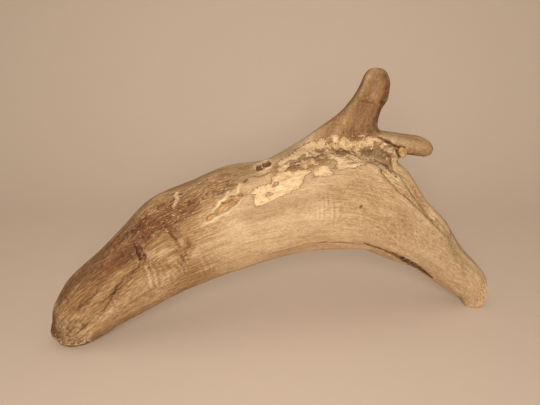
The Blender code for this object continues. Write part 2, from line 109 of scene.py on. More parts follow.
MARKS = {
    # The broad limb, brown and streaked, and darkened further by painted shade
    # Painted shade: the whole limb's tone is lowered as if it lay in shade, beside its own brown, rust and
    # roughness.
    "broad limb, brown and in painted shade": Mark([
        (-200, -31, 10, 85), (-158, -24, 43, 85), (-120, -18, 70, 85), (-98, -13, 86, 70),
    ], fade=0.6, tone=-0.22, rust=0.08, rough=0.5),
    "dark top of the broad limb": Mark([
        (-191, -32, 49, 12), (-171, -35, 67, 17), (-153, -33, 84, 20), (-133, -32, 99, 20),
        (-115, -30, 112, 17),
    ], fade=0.9, tone=-0.13, rust=0.25, rough=0.3),
    "dark wedge": Mark([
        (-144, -41, 80, 9), (-132, -40, 87, 13), (-122.5, -39, 93, 10),
    ], fade=0.9, height=-0.5, tone=-0.12, rust=0.3),
    "second dark streak": Mark([
        (-179, -47.5, 43, 5), (-160.5, -46, 61.5, 7), (-142.5, -43.5, 77.5, 8),
    ], tone=-0.08, rust=0.15),
    "pale flank of the broad limb": Mark([
        (-164, -48, 34, 10), (-142, -46, 48, 13), (-116, -45, 62, 15), (-95, -45, 74, 16),
    ], tone=0.1, olive=0.1),
    "pale underside of the broad limb": Mark([
        (-180, -44, 16, 12), (-158, -42, 26, 16), (-130, -38, 40, 18), (-100, -36, 56, 22),
    ], tone=0.14),
    "dark tip": Mark([
        (-198, -38, 27, 10), (-196, -45, 18, 11), (-203, -32, 22, 12),
    ], fade=0.9, tone=-0.2, rust=0.4, rough=0.6),
    "scorched rim of the broad foot": Mark([
        (-203, -26, 6, 8), (-195, -44, 8, 9), (-184, -49, 8, 9), (-170, -47, 9, 8),
    ], tone=-0.08, rust=0.2, rough=0.9, fray=0.3),
    "speckled foot": Mark([(-188, -48, 24, 14), (-172, -50, 31, 12)], tone=0.04, olive=0.25, rough=0.8),
    "long groove of the broad limb": Mark([
        (-117, -41, 85, 1.3), (-122, -44, 78, 1.4), (-134, -45.5, 69.5, 1.6), (-140, -47, 59, 1.4),
        (-148, -47.5, 45.5, 1.4), (-157, -48.5, 35, 1.3), (-171, -50, 25, 1.2),
    ], height=-0.5, tone=-0.12, rust=0.15),
    "groove beside it": Mark([
        (-125.5, -47.5, 73.5, 1.3), (-136.5, -48.5, 63, 1.5), (-149, -50, 52, 1.2),
    ], fade=0.9, height=-0.6, tone=-0.08, soot=0.3),
    "upper groove": Mark([
        (-150.5, -49, 62.5, 1.1), (-162.5, -50, 53.5, 1.4), (-173.5, -50, 44.5, 1.1),
    ], fade=0.9, height=-0.6, tone=-0.06, soot=0.3),
    "nick near the broad foot": Mark([
        (-187, -37, 50.5, 1.2), (-182.5, -43, 50.5, 1.6), (-184, -44, 46, 1.1),
    ], fade=0.9, height=-0.8, soot=0.5),
    # The crevice and the washboard below it
    "crevice": Mark([
        (-122, -35.5, 99.5, 1.3), (-121.5, -36.5, 97, 1.6), (-119.5, -37, 95.5, 1.5),
        (-119.5, -38.5, 92.5, 1.8), (-117, -39, 90.5, 2.2), (-117.5, -40, 87.5, 1.8),
        (-114.5, -37, 90, 1.6),
    ], fade=0.8, height=-1.8, tone=-0.1, soot=0.8, rust=0.5),
    "lip of the crevice": Mark([
        (-125, -41, 91.5, 2), (-121.5, -43, 87.5, 2.2), (-116.5, -44, 85, 2),
    ], height=0.4, tone=0.03),
    "swell beside the crevice": Mark([
        (-111, -45, 93, 9), (-98, -45, 95, 12), (-88, -44, 90, 8),
    ], height=0.6, tone=0.09),
    "valley of the swell": Mark([(-77.5, -41, 102, 5), (-81, -43, 95, 6)], tone=0.03),
    "washboard stain": Mark([
        (-111, -46, 72, 12), (-98, -46, 74, 14), (-88, -45, 78, 12),
    ], tone=0.07, olive=0.1),
    # The rotted shoulder
    "rotted shoulder": Mark([
        (-114, -34, 111, 15), (-97, -31, 124, 21), (-81.5, -28, 132, 23), (-64, -25, 139, 20),
        (-46, -21, 148, 14),
    ], fade=0.8, tone=-0.12, rust=0.35, rough=0.9, fray=0.02),
    "redder heart of the rot": Mark([
        (-100, -35, 116, 9), (-88, -34, 123, 10), (-74, -30, 133, 8),
    ], height=-0.6, tone=-0.08, rust=0.12, rough=0.5),
    "crease of the rot": Mark([
        (-97, -34, 118.5, 1.6), (-92, -37, 112, 2.2), (-87.5, -40, 106, 2), (-84, -42, 101, 1.6),
    ], height=-0.7, tone=-0.07, rust=0.4),
    "flake in the rot": Mark([
        (-89, -30, 129.5, 2.2), (-86.5, -25, 135.5, 2.8), (-88, -19, 138.5, 2),
    ], fade=0.9, height=1.2, tone=0.3, fray=0.5),
    "brown top behind the rot": Mark([
        (-91, -3, 138, 16), (-69, -4, 148, 18), (-47, -11, 155, 16), (-30.5, -9, 157, 12),
    ], tone=-0.14, rust=0.2, rough=0.4),
    "olive ground by the knot": Mark([
        (-50, -27, 142, 9), (-36, -21, 150, 11), (-22, -16, 155, 8),
    ], tone=-0.07, olive=0.5, rough=0.6),
    # The gouge
    "gouge": Mark([
        (-60, -33, 121, 2.2), (-49, -31, 129, 4.2), (-40.5, -29.5, 134.5, 4.8), (-33, -27, 140, 2.8),
    ], fade=0.7, height=-1.7, tone=0.06, ochre=0.45, rough=0.8),
    "upper rim of the gouge": Mark([
        (-62, -31, 124.5, 1.4), (-53, -29, 133, 2), (-47, -28, 138, 2.2), (-39, -27, 143, 1.6),
    ], height=0.5, tone=0.02, fray=0.4),
    "first curl of the gouge": Mark([
        (-59, -32, 125, 1.1), (-53, -30, 131, 1.5), (-51, -28, 134.5, 1.1),
    ], height=0.8, tone=0.5, fray=1),
    "second curl of the gouge": Mark([
        (-49, -28, 136.5, 1.1), (-45, -28.5, 137.5, 1.6), (-43, -26, 142, 1.1),
    ], height=0.9, tone=0.5, fray=1),
    "third curl of the gouge": Mark([
        (-40, -28, 140.5, 1.1), (-36, -26.5, 142, 1.5), (-35, -23, 146, 1),
    ], height=0.9, tone=0.45, fray=1),
    "gaps between the curls": Mark([
        (-52, -30.5, 130.5, 1.2), (-47.5, -30, 133.5, 1.5), (-42, -28.5, 138.5, 1.6),
        (-37, -27, 140.5, 1.4),
    ], height=-0.9, tone=-0.1, soot=0.7, rust=0.3),
    "lower rim of the gouge": Mark([
        (-61, -36, 118.5, 1.5), (-48, -35, 125, 1.8), (-38, -32.5, 131, 1.7), (-30, -28, 138, 1.4),
    ], height=0.5, tone=0.08, fray=0.4),
    "pale end of the gouge": Mark([(-64, -37.5, 118, 2.2), (-56, -35.5, 122.5, 2.4)], tone=0.1, fray=0.6),
    "small dark pit": Mark([
        (-31, -21.5, 149.8, 1.8), (-29, -19.5, 151, 1.4),
    ], height=-1.2, soot=0.7, rust=0.3),
    # The knot hole
    "ground round the knot hole": Mark([(-19, -10, 156.5, 9), (-11, -4, 160, 9)], tone=0.03, olive=0.25),
    "left pit of the knot hole": Mark([
        (-18, -5, 157, 3.4), (-17.4, -10, 156.3, 3.2),
    ], fade=0.4, height=-3.4, tone=-0.25, soot=0.5, rust=1),
    "right pit of the knot hole": Mark([
        (-13, -0.5, 159.3, 3.4), (-12.4, -6.5, 158.7, 3.4),
    ], fade=0.4, height=-3.6, tone=-0.2, soot=0.4, rust=1),
    "ridge between the pits": Mark([
        (-16, -3, 158.5, 1.2), (-14.8, -9.5, 157.4, 1.2),
    ], height=0.8, tone=0.2),
    "pale ring round the knot hole": Mark([
        (-22, -14, 154, 1.8), (-16, -15, 155.5, 2), (-9, -11, 158, 2),
    ], height=0.6, tone=0.12),
    "dark crescent below the knot hole": Mark([
        (-23, -18, 153, 1.2), (-16, -19, 154, 1.6), (-8, -15.5, 156.8, 1.2),
    ], height=-0.5, tone=-0.12, soot=0.3),
    # The mid body
    "browner right of the belly": Mark([(62, -26, 134, 32), (92, -20, 118, 30)], tone=-0.12),
    "pale belly": Mark([
        (-67, -42, 84, 20), (-17.5, -38, 106, 24), (31.5, -34, 118, 26), (73.5, -29, 118, 22),
    ], tone=0.035),
    "grey veil under the band": Mark([
        (-28, -36, 126, 12), (7, -33, 134, 10), (46, -26, 142, 9),
    ], tone=-0.045, olive=0.3),
    "ripples of the belly": Mark([(38, -34, 130, 20), (46, -33, 114, 18)], fade=0.8, ripple=0.6),
    "ripples by the washboard": Mark([(-78, -42, 84, 22), (-60, -40, 84, 20)], fade=0.8, ripple=0.8),
    "crease along the keel": Mark([
        (33, -23.5, 94, 1.4), (47, -21.5, 93, 1.8), (62, -19.5, 91.5, 1.6),
    ], height=-0.6, tone=-0.1, soot=0.25),
    "second crease along the keel": Mark([
        (-6, -27, 84, 1.2), (24, -27, 91, 1.6), (40, -26, 92, 1.2),
    ], height=-0.4, tone=-0.07, soot=0.15),
    "pinhole": Mark([(65.5, -29, 130, 1.1)], fade=0.6, height=-1.2, soot=1),
    # The strip down the narrow limb
    "strip": Mark([
        (91, 9, 168, 8), (97, 5, 157, 11), (104, -2, 147, 13), (114, -3, 134, 13), (127, 2, 115, 11),
    ], fade=0.5, tone=-0.2, rough=0.2),
    "front of the strip": Mark([
        (86, -12, 153, 7), (98, -17, 143, 9), (112, -13, 129, 9), (124, -6, 116, 7),
    ], fade=0.6, tone=-0.17, rough=0.25),
    "filled crease of the strip": Mark([
        (98, -8, 149, 4), (103, -0.5, 147.5, 5), (112, -3.5, 135.5, 6), (125, -1, 117, 6),
        (138, 9, 99, 5),
    ], height=1),
    "split down the strip": Mark([
        (97, -7, 150, 0.9), (102.7, 0.3, 148, 1.2), (110.5, -2.2, 139.2, 1), (120.3, 2.3, 127.8, 1.1),
        (134.9, 6.8, 108.5, 1.2), (142, 9, 99, 0.9),
    ], height=-0.4, tone=-0.14, soot=0.1),
    "second split down the strip": Mark([
        (105, 2, 149, 0.8), (114, 1, 138, 1.1), (124, 3.5, 124, 0.8),
    ], height=-0.3, tone=-0.15),
    "pale sliver of the strip": Mark([
        (89, -7.5, 154.5, 0.8), (92.5, -9, 151.5, 1.4), (98, -11.5, 147, 1),
    ], height=0.5, tone=0.45),
    "front edge of the strip": Mark([
        (80.5, -5, 158, 1.3), (86, -14, 152.3, 1.5), (91, -18, 147.3, 1.6), (98.5, -20, 141, 1.7),
        (106.5, -19.2, 134, 1.7), (114.6, -15.1, 125.4, 1.6), (122.5, -9.5, 117, 1.5), (136, 5, 103, 1.2),
    ], height=-0.6, tone=-0.1, soot=0.1),
    "crack through the strip": Mark([
        (76, 6, 162, 1), (81, 5.2, 159.3, 1.5), (84.5, 4, 158.2, 1.7), (90.8, 5.4, 154.2, 1.7),
        (93.4, -6.8, 152.5, 1.6), (96.5, -9.5, 149.8, 1.1),
    ], fade=0.8, height=-1.4, soot=0.6, rust=0.5),
    "ragged head of the strip": Mark([
        (85, 12, 169.3, 1.1), (88.6, 8.7, 165.2, 1.5), (91.9, 8.8, 161.1, 1.5), (94.6, 6.2, 156, 1.2),
    ], fade=0.8, height=-1, tone=-0.15, soot=0.4, rust=0.5),
    "broken crown": Mark([
        (32, -4, 164, 17), (52, 3, 169, 24), (74, 7, 170, 24), (92, 8, 167, 15),
    ], fade=0.8, broken=1),
    "broken foot of the band": Mark([(-18, -34, 140, 12), (4, -26, 150, 11)], broken=0.4),
    "peeled shoulder of the band": Mark([
        (0, -18, 155, 12), (14, -14, 161, 12), (28, -8, 166, 10),
    ], tone=-0.14, rough=0.1, broken=0.3, olive=0.1),
    "flaked ground above the band": Mark([
        (-2, -12, 158, 9), (12, -9, 162, 11), (30, -2, 168, 9),
    ], fade=0.8, tone=-0.04, rough=0.15, olive=0.1, broken=0.6),
    "soft top of the band": Mark([
        (18, -12, 160, 9), (46, -2, 170, 9), (74, 6, 172, 9),
    ], fade=0.9, tone=-0.12, broken=0.8),
    "olive wedge": Mark([
        (66, 3, 162, 7), (78, 7, 164.5, 9), (89, 7, 163.5, 6),
    ], height=-0.3, tone=-0.15, olive=0.6, rough=0.25),
    # The stub and the clefts round it
    "stub": Mark([
        (102.5, 6, 166.5, 4.5), (106.8, 4, 167.8, 6.3),
    ], fade=0.7, height=2.5, tone=-0.12, ochre=0.4),
    "heart of the stub's end": Mark([(106.5, 3, 168, 3)], height=-0.8, tone=-0.1, rust=0.25),
    "dark left of the stub": Mark([
        (98.5, 9, 169, 1.5), (98.6, 4.5, 166, 1.7), (101, 4.5, 162.3, 1.9),
    ], fade=0.8, height=-1.4, tone=-0.15, soot=0.85, rust=0.6),
    "hole under the stub": Mark([
        (101.5, 4.5, 161.6, 2.2), (104, 5.5, 161.4, 2.2),
    ], fade=0.8, height=-1.4, tone=-0.15, soot=0.85, rust=0.5),
    "pit above the stub": Mark([
        (91, 15.5, 174.5, 2.8), (94, 15.5, 173, 2.6),
    ], fade=0.9, height=-1.8, tone=-0.1, soot=0.8, rust=0.4),
    "cleft above the stub": Mark([
        (84, 15.5, 177, 1.6), (91, 15, 174.5, 2.4), (96.5, 14, 171, 2.6), (103, 14.5, 168.5, 2.6),
        (110, 18, 166, 2.4),
    ], fade=0.9, height=-1, tone=-0.15, soot=0.7, rust=0.5),
    "shade under the short prong": Mark([(104, 22, 158, 7), (116, 28, 155, 6)], tone=-0.12),
    # The prongs
    "brown tall prong": Mark([
        (40, 22, 158, 26), (61, 30, 180, 34), (78, 36, 208, 34), (84, 39, 232, 30),
    ], fade=0.6, tone=-0.27, rust=0.04, rough=-0.25),
    "pale edge of the tall prong": Mark([
        (44, 14, 172, 7), (56, 22, 189, 7), (66, 28, 208, 6), (73, 32, 224, 6), (79, 36, 233, 7),
    ], tone=0.12),
    "olive patch of the tall prong": Mark([(82, 27, 226, 6), (80, 25, 215, 5)], tone=-0.06, olive=0.4),
    "brown middle of the tall prong": Mark([(66, 21, 196, 7), (58, 17, 183, 8)], tone=0.02, olive=0.1),
    "dark side of the tall prong": Mark([
        (88, 31, 226, 6), (91, 29, 214, 7), (88, 27, 202, 7), (83, 24, 190, 6),
    ], tone=-0.1, rust=0.12),
    "rough root of the tall prong": Mark([
        (79, 20, 192, 3), (82, 21, 186, 4), (86, 23, 180, 4),
    ], height=-0.3, tone=-0.1, rough=0.9, olive=0.3),
    "healed ring of the tall prong": Mark([
        (66, 24.5, 205, 1.1), (70, 22.5, 206, 1.2), (79, 21, 205, 1),
    ], height=-0.3, tone=-0.1),
    "knob of the tall prong": Mark([(90, 33, 220, 8), (89, 33, 214, 7)], height=1.3, tone=-0.04),
    "crease under the knob": Mark([(84, 24, 205.5, 2), (92, 31, 203, 3)], height=-0.7, tone=-0.1),
    "spot on the tall prong": Mark([(69.5, 22, 206.8, 1.5)], fade=0.8, height=-0.5, soot=0.8),
    "pale tip of the tall prong": Mark([(83, 38, 233, 9)], tone=0.07),
    "brown short prong": Mark([
        (98, 30, 167, 18), (118, 35, 164, 20), (137, 41, 156, 18),
    ], fade=0.6, tone=-0.2, rough=-0.15),
    "pale ridge of the short prong": Mark([
        (98, 19, 171, 4), (112, 25, 168, 5), (126, 31, 163, 5),
    ], tone=0.08),
    "pale tip of the short prong": Mark([(137, 36, 154, 7)], tone=0.06, olive=0.3),
    # The narrow limb
    "grey top of the narrow limb": Mark([
        (150, 10, 84, 6), (160, 10, 68, 8), (173, 15, 50, 8),
    ], tone=-0.05, olive=0.2, rough=0.3),
    "dark rim of the narrow limb": Mark([
        (158, 18, 84, 6), (168, 20, 70, 6), (180, 24, 56, 6),
    ], tone=-0.06),
    "yellow end of the narrow limb": Mark([
        (197, 24, 26, 7), (198, 24, 12, 8), (193, 24, 4, 7),
    ], tone=0.03, ochre=0.4, rough=0.35, fray=0.3),
    "notch of the narrow end": Mark([
        (203, 22, 27, 2.2), (197, 18, 22, 2.2),
    ], fade=0.9, height=-1.2, tone=-0.08, soot=0.3),
    "lower notch of the narrow end": Mark([
        (201, 26, 12, 2.2), (194, 20, 10, 2),
    ], fade=0.9, height=-1, tone=-0.06, soot=0.3),
    "underside crack": Mark([
        (71, -18.5, 92, 1.2), (78, -16, 88.5, 1.7), (92, -12, 82, 2.3), (107.5, -4.5, 71, 3.2),
        (125, 7, 57, 3.2), (144, 16.5, 40.5, 2.2),
    ], fade=0.6, height=-0.2, tone=-0.1, soot=0.75, rust=0.8),
    "streaked narrow limb": Mark([
        (104, 6, 98, 34), (130, 16, 78, 34), (160, 27, 50, 30), (190, 36, 15, 26),
    ], fade=0.8, tone=-0.02, rough=0.35),
    # The back and the underside
    "shaded back": Mark([
        (-150, 10, 55, 40), (-90, 28, 95, 48), (-20, 42, 120, 48), (50, 48, 125, 48), (120, 50, 85, 36),
    ], fade=0.9, tone=-0.06, rough=0.25),
    "long check down the back": Mark([
        (-118, 15, 82, 1.3), (-92, 23, 94, 1.8), (-58, 30, 103, 2), (-22, 32, 112, 1.6),
        (6, 38, 118, 1.2),
    ], fade=0.8, height=-1.6, tone=-0.06, soot=0.6),
    "short check down the back": Mark([
        (-64, 32, 118, 1), (-36, 36, 126, 1.8), (-10, 37, 133, 1.1),
    ], fade=0.8, height=-1.2, soot=0.6),
    "check behind the narrow limb": Mark([
        (84, 46, 104, 1.1), (104, 47, 90, 1.9), (130, 49, 66, 1.2),
    ], fade=0.8, height=-1.4, soot=0.6),
    "old knot at the back": Mark([(22, 42, 138, 6)], height=0.9, tone=-0.12, rust=0.2),
    "heart of the old knot": Mark([(22, 43, 138, 2.6)], fade=0.8, height=-1.8, soot=0.8, rust=0.5),
    "stain down the back": Mark([
        (-20, 36, 136, 12), (10, 42, 116, 14), (30, 42, 98, 12),
    ], tone=-0.06, rust=0.15),
    "grey belly behind": Mark([
        (-60, 20, 74, 22), (0, 28, 90, 24), (60, 34, 90, 22),
    ], tone=-0.05, olive=0.25),
}

# Lines of marks no wider than this are laid on the skin, in steps of this length.
WIDEST_LAID = 10
MARK_STEP = 4

# Each rib of the washboard is the one before it, moved by RIB_STEP (x, y, z, reach) and weaker.
RIB_COUNT = 5
RIB_FADE = 0.8
RIB = Mark([(-113, -46.5, 86, 2.6), (-109.5, -48.5, 77, 3), (-108.5, -47, 65, 2.8)], height=0.8, tone=0.08)
RIB_STEP = (5.2, 0.5, 0.3, 0)

# The chart is the show face laid flat, as it looks from in front and this far above.
CHART_TILT = math.radians(22)

# The outline of the worn band over the crown and down the strip, on the chart.
BAND = [
    (-20, 111.5), (-11, 113), (-4, 117), (5.5, 122), (11.5, 125.5), (16, 130), (21, 136.5), (25.5, 133.5),
    (31.5, 135), (38.5, 136), (45.5, 139), (53, 142), (60, 142), (65.5, 144.5), (76, 149.5), (80.5, 146),
    (83, 141.5), (86, 136), (91, 129.5), (98, 123.5), (106.5, 117), (114.5, 110.5), (122, 105),
    (130, 100), (138, 96.5), (134.5, 102), (141, 98.5), (148, 91), (155, 85), (157, 90), (147, 101),
    (134, 115), (117, 133), (110, 142), (101, 148), (97, 153.5), (96.5, 159), (90, 167.5), (81, 169),
    (69, 170), (54.5, 170.5), (42, 169.5), (31.5, 167), (22, 164), (13, 159), (6, 152), (1, 148),
    (-2, 141.5), (-3, 137), (-7, 132), (-8.5, 128.5), (-18, 126.5), (-24, 119),
]
# Islands of the older, grey-brown surface that still stand in the band.
ISLANDS = {
    "foot of the band": [(-14, 118), (-11, 122.5), (-9, 121), (-10.5, 117)],
    "by the lower edge": [(-8, 127), (-4.5, 130), (-2, 131), (-3, 128.5), (-6, 126)],
    "upper hook": [(3, 141.5), (8, 145.5), (14, 148.5), (12, 144.5), (10.5, 139), (7, 139)],
    "small island": [(25, 150.5), (26.5, 153), (30.5, 153), (29.5, 148), (26, 147.5)],
    "second small island": [(30.5, 158), (37, 158.5), (37, 154.5), (33, 152)],
    "long island": [(23.5, 141.5), (29.5, 144), (34.5, 147.5), (36, 146), (30, 141), (25, 139)],
    "wedge": [(16, 130), (21, 137), (26, 138), (25, 133.5), (20, 130)],
    "round island": [(38, 145), (43, 149), (46, 146), (45, 141.5), (40.5, 141), (38, 142.5)],
    "slim island": [(54.5, 148.5), (59, 149), (62.5, 146), (58, 145.5)],
    "top island": [(37.5, 167.5), (45, 169), (44.5, 165), (38.5, 164)],
    "middle island": [(46.5, 158), (53, 161), (58, 158), (52.5, 153), (47, 154)],
    "olive wedge": [
        (64, 158.5), (70.5, 162.5), (86, 160), (90.5, 152.5), (94.5, 146.5), (96.5, 135.5), (91, 145.5),
        (82.5, 149.5), (76.5, 152), (67.5, 154),
    ],
}
# How far the outlines of the islands and of the band wander, and the size of that noise.
ISLAND_EDGE = 1.1
BAND_EDGE = 1.6
EDGE_SIZE = 5
# Down the strip, from this far right, the edge runs straighter.
STRIP_START = 92
STRIP_RUN = 14
STRIP_CALM = 0.75
# Flakes of the old surface: their size, the squeeze along the grain that draws them out, their height, and
# how much is added to it where the band is broken.
FLAKE_SIZE = 2.0
FLAKE_STRETCH = 0.45
FLAKE_WHOLE = 0.9
FLAKE_BROKEN = 2.9
# Whole and broken ground count as no deeper than this, so that flakes can break through.
DEEPEST_WHOLE = 3.2
DEEPEST_BROKEN = 0.9
# How far the whole band is widened, and the depth over which the wood steps down into it.
LAYER_BIAS = 0.5
LAYER_SOFT = 0.9
# The band ends where the skin turns away from the show side, and no depth is kept below NO_LAYER.
FACING_LEAST = 0.25
FACING_FALL = 30
NO_LAYER = -9

# Ground where the skin is split finer, as lines of points (x, y, z, reach).
FINE_LINES = [
    [(-22, -36, 136, 15), (10, -24, 155, 24), (45, -8, 165, 30), (78, 0, 165, 28), (97, -4, 155, 20)],
    [(97, -4, 155, 16), (115, -6, 134, 12), (133, 0, 110, 9), (150, 4, 88, 7)],
    [
        (-110, -38, 108, 13), (-84, -34, 124, 17), (-52, -30, 132, 17), (-30, -20, 150, 12),
        (-14, -6, 158, 9),
    ],
    [(-122, -42, 92, 9), (-112, -45, 80, 14), (-97, -46, 74, 12)],
    [(88, 12, 172, 14), (100, 8, 166, 12)],
    [(70, -18, 92, 5), (92, -11, 82, 6), (107, -3, 71, 6), (125, 9, 56, 6), (144, 17, 40, 5)],
    [(-201, -34, 18, 17), (-184, -46, 14, 14)],
    [(199, 28, 24, 14), (196, 28, 6, 14)],
    [(80, 20, 190, 8), (70, 22, 206, 7)],
    [(-140, -47, 60, 4), (-160, -49, 36, 4)],
]

# Cracks that the plain wood already has, kept open while the rest is relaxed.
OPEN_CRACKS = [
    [
        (74.5, -17, 90, 3), (90.5, -12.5, 83.5, 4), (106.5, -5.5, 73, 5), (123.5, 5.5, 59, 5),
        (146.5, 15.5, 38.5, 3),
    ],
    [(85.5, 14.5, 177, 3), (98.5, 10.5, 169.5, 4), (107.5, 15.5, 168, 3)],
]

# Vertices of the plain wood this close together are one.
WELD_GAP = 0.01
# Each vertex is moved this share of the way to the middle of its neighbours, over and over: less along
# open cracks, and not in full below RELAX_HEIGHT.
RELAX_ROUNDS = 11
RELAX_SHARE = 0.5
RELAX_HEIGHT = 3
CRACK_KEPT = 0.7
CRACK_FADE = 0.5
# A hollow is told by how far the skin lies below a softened copy of itself.
HOLLOW_ROUNDS = 7
HOLLOW_SHARE = 0.8
# Shallow flutes along the grain, and the share of them that smooth wood has.
FLUTE_ACROSS = 4.5
FLUTE_ALONG = 70
FLUTE_HEIGHT = 0.45
FLUTE_CALM = 0.5
# Rough ground is lumpy, from LUMP_START on. The tops of the lumps are cut off at LUMP_TOP.
LUMP_SIZE = 2.8
LUMP_HEIGHT = 1.3
LUMP_TOP = 0.1
LUMP_START = 0.35
# Ripples across the grain. They drift by this angle over DRIFT_SIZE and come in patches of PATCH_SIZE.
RIPPLE_LENGTH = 4.1
RIPPLE_HEIGHT = 0.25
# How much the ripples' crests are painted lighter and their troughs darker, as painted light and shade.
RIPPLE_PAINTED_LIGHT = 0.07
RIPPLE_MEAN = 0.6
RIPPLE_SWING = 0.8
DRIFT_ANGLE = 4
DRIFT_SIZE = 14
PATCH_SIZE = 9
# Noise that makes the outlines of the marks uneven, as (size, height, first draw).
WARPS = [(5, 0.8, 50), (1.25, 0.8 / 3, 60)]
# Wear fades out from this height down to the floor, and loose fibres keep this far off it.
WEAR_HEIGHT = 2
FIBRE_CLEARANCE = 3
# Each kind of noise has its own fixed draw.
EDGE_DRAW = 11
FLAKE_DRAW = 31
FLUTE_DRAW = 70
LUMP_DRAW = 80
DRIFT_DRAW = 90
PATCH_DRAW = 91

# How much deeper the fine furrows are on rough wood, and how deep they are on smooth wood.
FURROW_ROUGH = 0.8
FURROW_CALM = 0.35
# How far fibres stray sideways, the shortest one as a share of the usual length, and the range above it.
FIBRE_STRAY = 0.5
FIBRE_SHORTEST = 0.5
FIBRE_GROWTH = 0.8

# Noise drawn out along the grain, as millimetres across and along it, detail and sway.
STREAKS = {
    "fine": (0.75, 24, 4, 0.4),
    "broad": (2.6, 42, 3, 0.8),
    "fleck": (0.7, 1.5, 2, 0.4),
    "mottle": (2, 3.6, 4, 1),
    "blotch": (13, 26, 4, 1.2),
    "crust": (1.2, 4.2, 4, 1.8),
    "flake": (1.7, 3.8, 3, 2.2),
}
# This brings the noise, which keeps near its middle, to between -1 and 1.
STREAK_GAIN = 4
# These are pushed towards their two ends, so that they read as separate fibres and specks.
CRISP = ("fine", "fleck")
# The colours of the old surface and of the bare wood by tone, where 0 is deep brown and 1 is cream.
OLD_WOOD = [(0, "deep"), (0.2, "dark"), (0.4, "brown"), (0.6, "tan"), (0.8, "pale"), (1, "cream")]
BARE_WOOD = [(0.3, "brown"), (0.62, "strip"), (0.95, "cream")]
# Stripes along the edge of the band, as the depths between which each one rises and falls.
FILM = ((-4, -0.2), (0.3, 0))
# The rim is the old surface's dark edge and, in part, the painted shadow of the step down to the bare wood.
RIM_AND_STEP_SHADOW = ((-0.8, -0.1), (0.4, 0))
FIRST_LINE = ((1.1, 1.5), (1.9, 1.6))
SECOND_LINE = ((2.4, 2.8), (3.2, 2.9))

# The sheen of the wood. For the fibres and the floor: patches in a metre and roughness.
WOOD_SHINE = 0.3
FIBRE_PATCHES = 900
FIBRE_ROUGHNESS = 0.8
FLOOR_PATCHES = 40
FLOOR_ROUGHNESS = 0.9
# How bright the floor's darker patches are, and the steps of the rise behind the wood.
FLOOR_SHADE = 0.97
SWEEP_STEPS = 16

# A square light, by its width and its place in metres and its spread in degrees.
Lamp = namedtuple("Lamp", "size place spread")

LAMPS = {
    "key": Lamp(0.4, (-0.05, -1.05, 0.54), 85),
    "fill": Lamp(1.6, (0.1, -0.2, 1.7), 180),
}

# The camera stands before the show face and looks a little down on it.
CAMERA_PLACE = (-9.5, -484.5, 318)
CAMERA_TILT = math.radians(90 - 22)
CAMERA_LENS = 40
CAMERA_SENSOR = 36
CAMERA_CLIP = 0.01


class Nodes:
    """Adds nodes to a tree. A value for a socket is either another socket or a constant."""

    def __init__(self, tree):
        self.tree = tree

    def feed(self, socket, value):
        if isinstance(value, bpy.types.NodeSocket):
            self.tree.links.new(value, socket)
        else:
            socket.default_value = value

    def add(self, kind, values=None, **settings):
        node = self.tree.nodes.new(kind)
        for name, value in settings.items():
            setattr(node, name, value)
        for name, value in (values or {}).items():
            self.feed(node.inputs[name], value)
        return node

    def math(self, operation, *values):
        node = self.add("ShaderNodeMath", operation=operation)
        for socket, value in zip(node.inputs, values):
            self.feed(socket, value)
        return node.outputs[0]

    def sum(self, *values):
        return reduce(partial(self.math, "ADD"), values)

    def times(self, *values):
        return reduce(partial(self.math, "MULTIPLY"), values)

    def line(self, value, gain, base):
        """The value times gain, plus base."""
        return self.sum(self.times(value, gain), base)

    def limited(self, value, low, high):
        return self.math("MINIMUM", self.math("MAXIMUM", value, low), high)

    def step(self, value, start, end):
        """0 up to start, 1 from end on and an S-curve between them. The end may lie below the start."""
        node = self.add("ShaderNodeMapRange", interpolation_type="SMOOTHSTEP")
        self.feed(node.inputs["Value"], value)
        self.feed(node.inputs["From Min"], start)
        self.feed(node.inputs["From Max"], end)
        return node.outputs["Result"]

    def stripe(self, value, rise, fall):
        """A step up over the range called rise, and down again over the one called fall."""
        return self.times(self.step(value, *rise), self.step(value, *fall))

    def vector(self, operation, first, second):
        node = self.add("ShaderNodeVectorMath", operation=operation)
        self.feed(node.inputs[0], first)
        self.feed(node.inputs[3 if operation == "SCALE" else 1], second)
        return node.outputs[0]

    def blend(self, amount, under, over):
        node = self.add("ShaderNodeMix", data_type="RGBA")
        self.feed(node.inputs[0], amount)
        self.feed(node.inputs[6], under)
        self.feed(node.inputs[7], over)
        return node.outputs[2]

    def read(self, name, output="Fac"):
        """A value kept on the mesh, for a material."""
        return self.add("ShaderNodeAttribute", attribute_name=name).outputs[output]

    def stored(self, name, kind):
        """A value kept on the mesh, for geometry nodes."""
        node = self.add("GeometryNodeInputNamedAttribute", {"Name": name}, data_type=kind)
        return node.outputs["Attribute"]


def start_group(name, tree_type, inputs, outputs):
    """A node group with its sockets. Returns its builder, its input node's outputs and its output node."""
    group = bpy.data.node_groups.new(name, tree_type)
    for socket_name, socket_type, default in inputs:
        socket = group.interface.new_socket(socket_name, in_out="INPUT", socket_type=socket_type)
        if default is not None:
            socket.default_value = default
    for socket_name, socket_type in outputs:
        group.interface.new_socket(socket_name, in_out="OUTPUT", socket_type=socket_type)
    nodes = Nodes(group)
    return nodes, nodes.add("NodeGroupInput").outputs, nodes.add("NodeGroupOutput")


def socket_identifier(group, name):
    for item in group.interface.items_tree:
        if item.item_type == "SOCKET" and item.in_out == "INPUT" and item.name == name:
            return item.identifier
    raise KeyError(name)


def add_object(name, data):
    obj = bpy.data.objects.new(name, data)
    bpy.context.scene.collection.objects.link(obj)
    return obj


def evaluated_mesh(obj):
    """A plain copy of the mesh that the object's modifiers make."""
    bpy.context.view_layer.update()
    graph = bpy.context.evaluated_depsgraph_get()
    return bpy.data.meshes.new_from_object(obj.evaluated_get(graph))


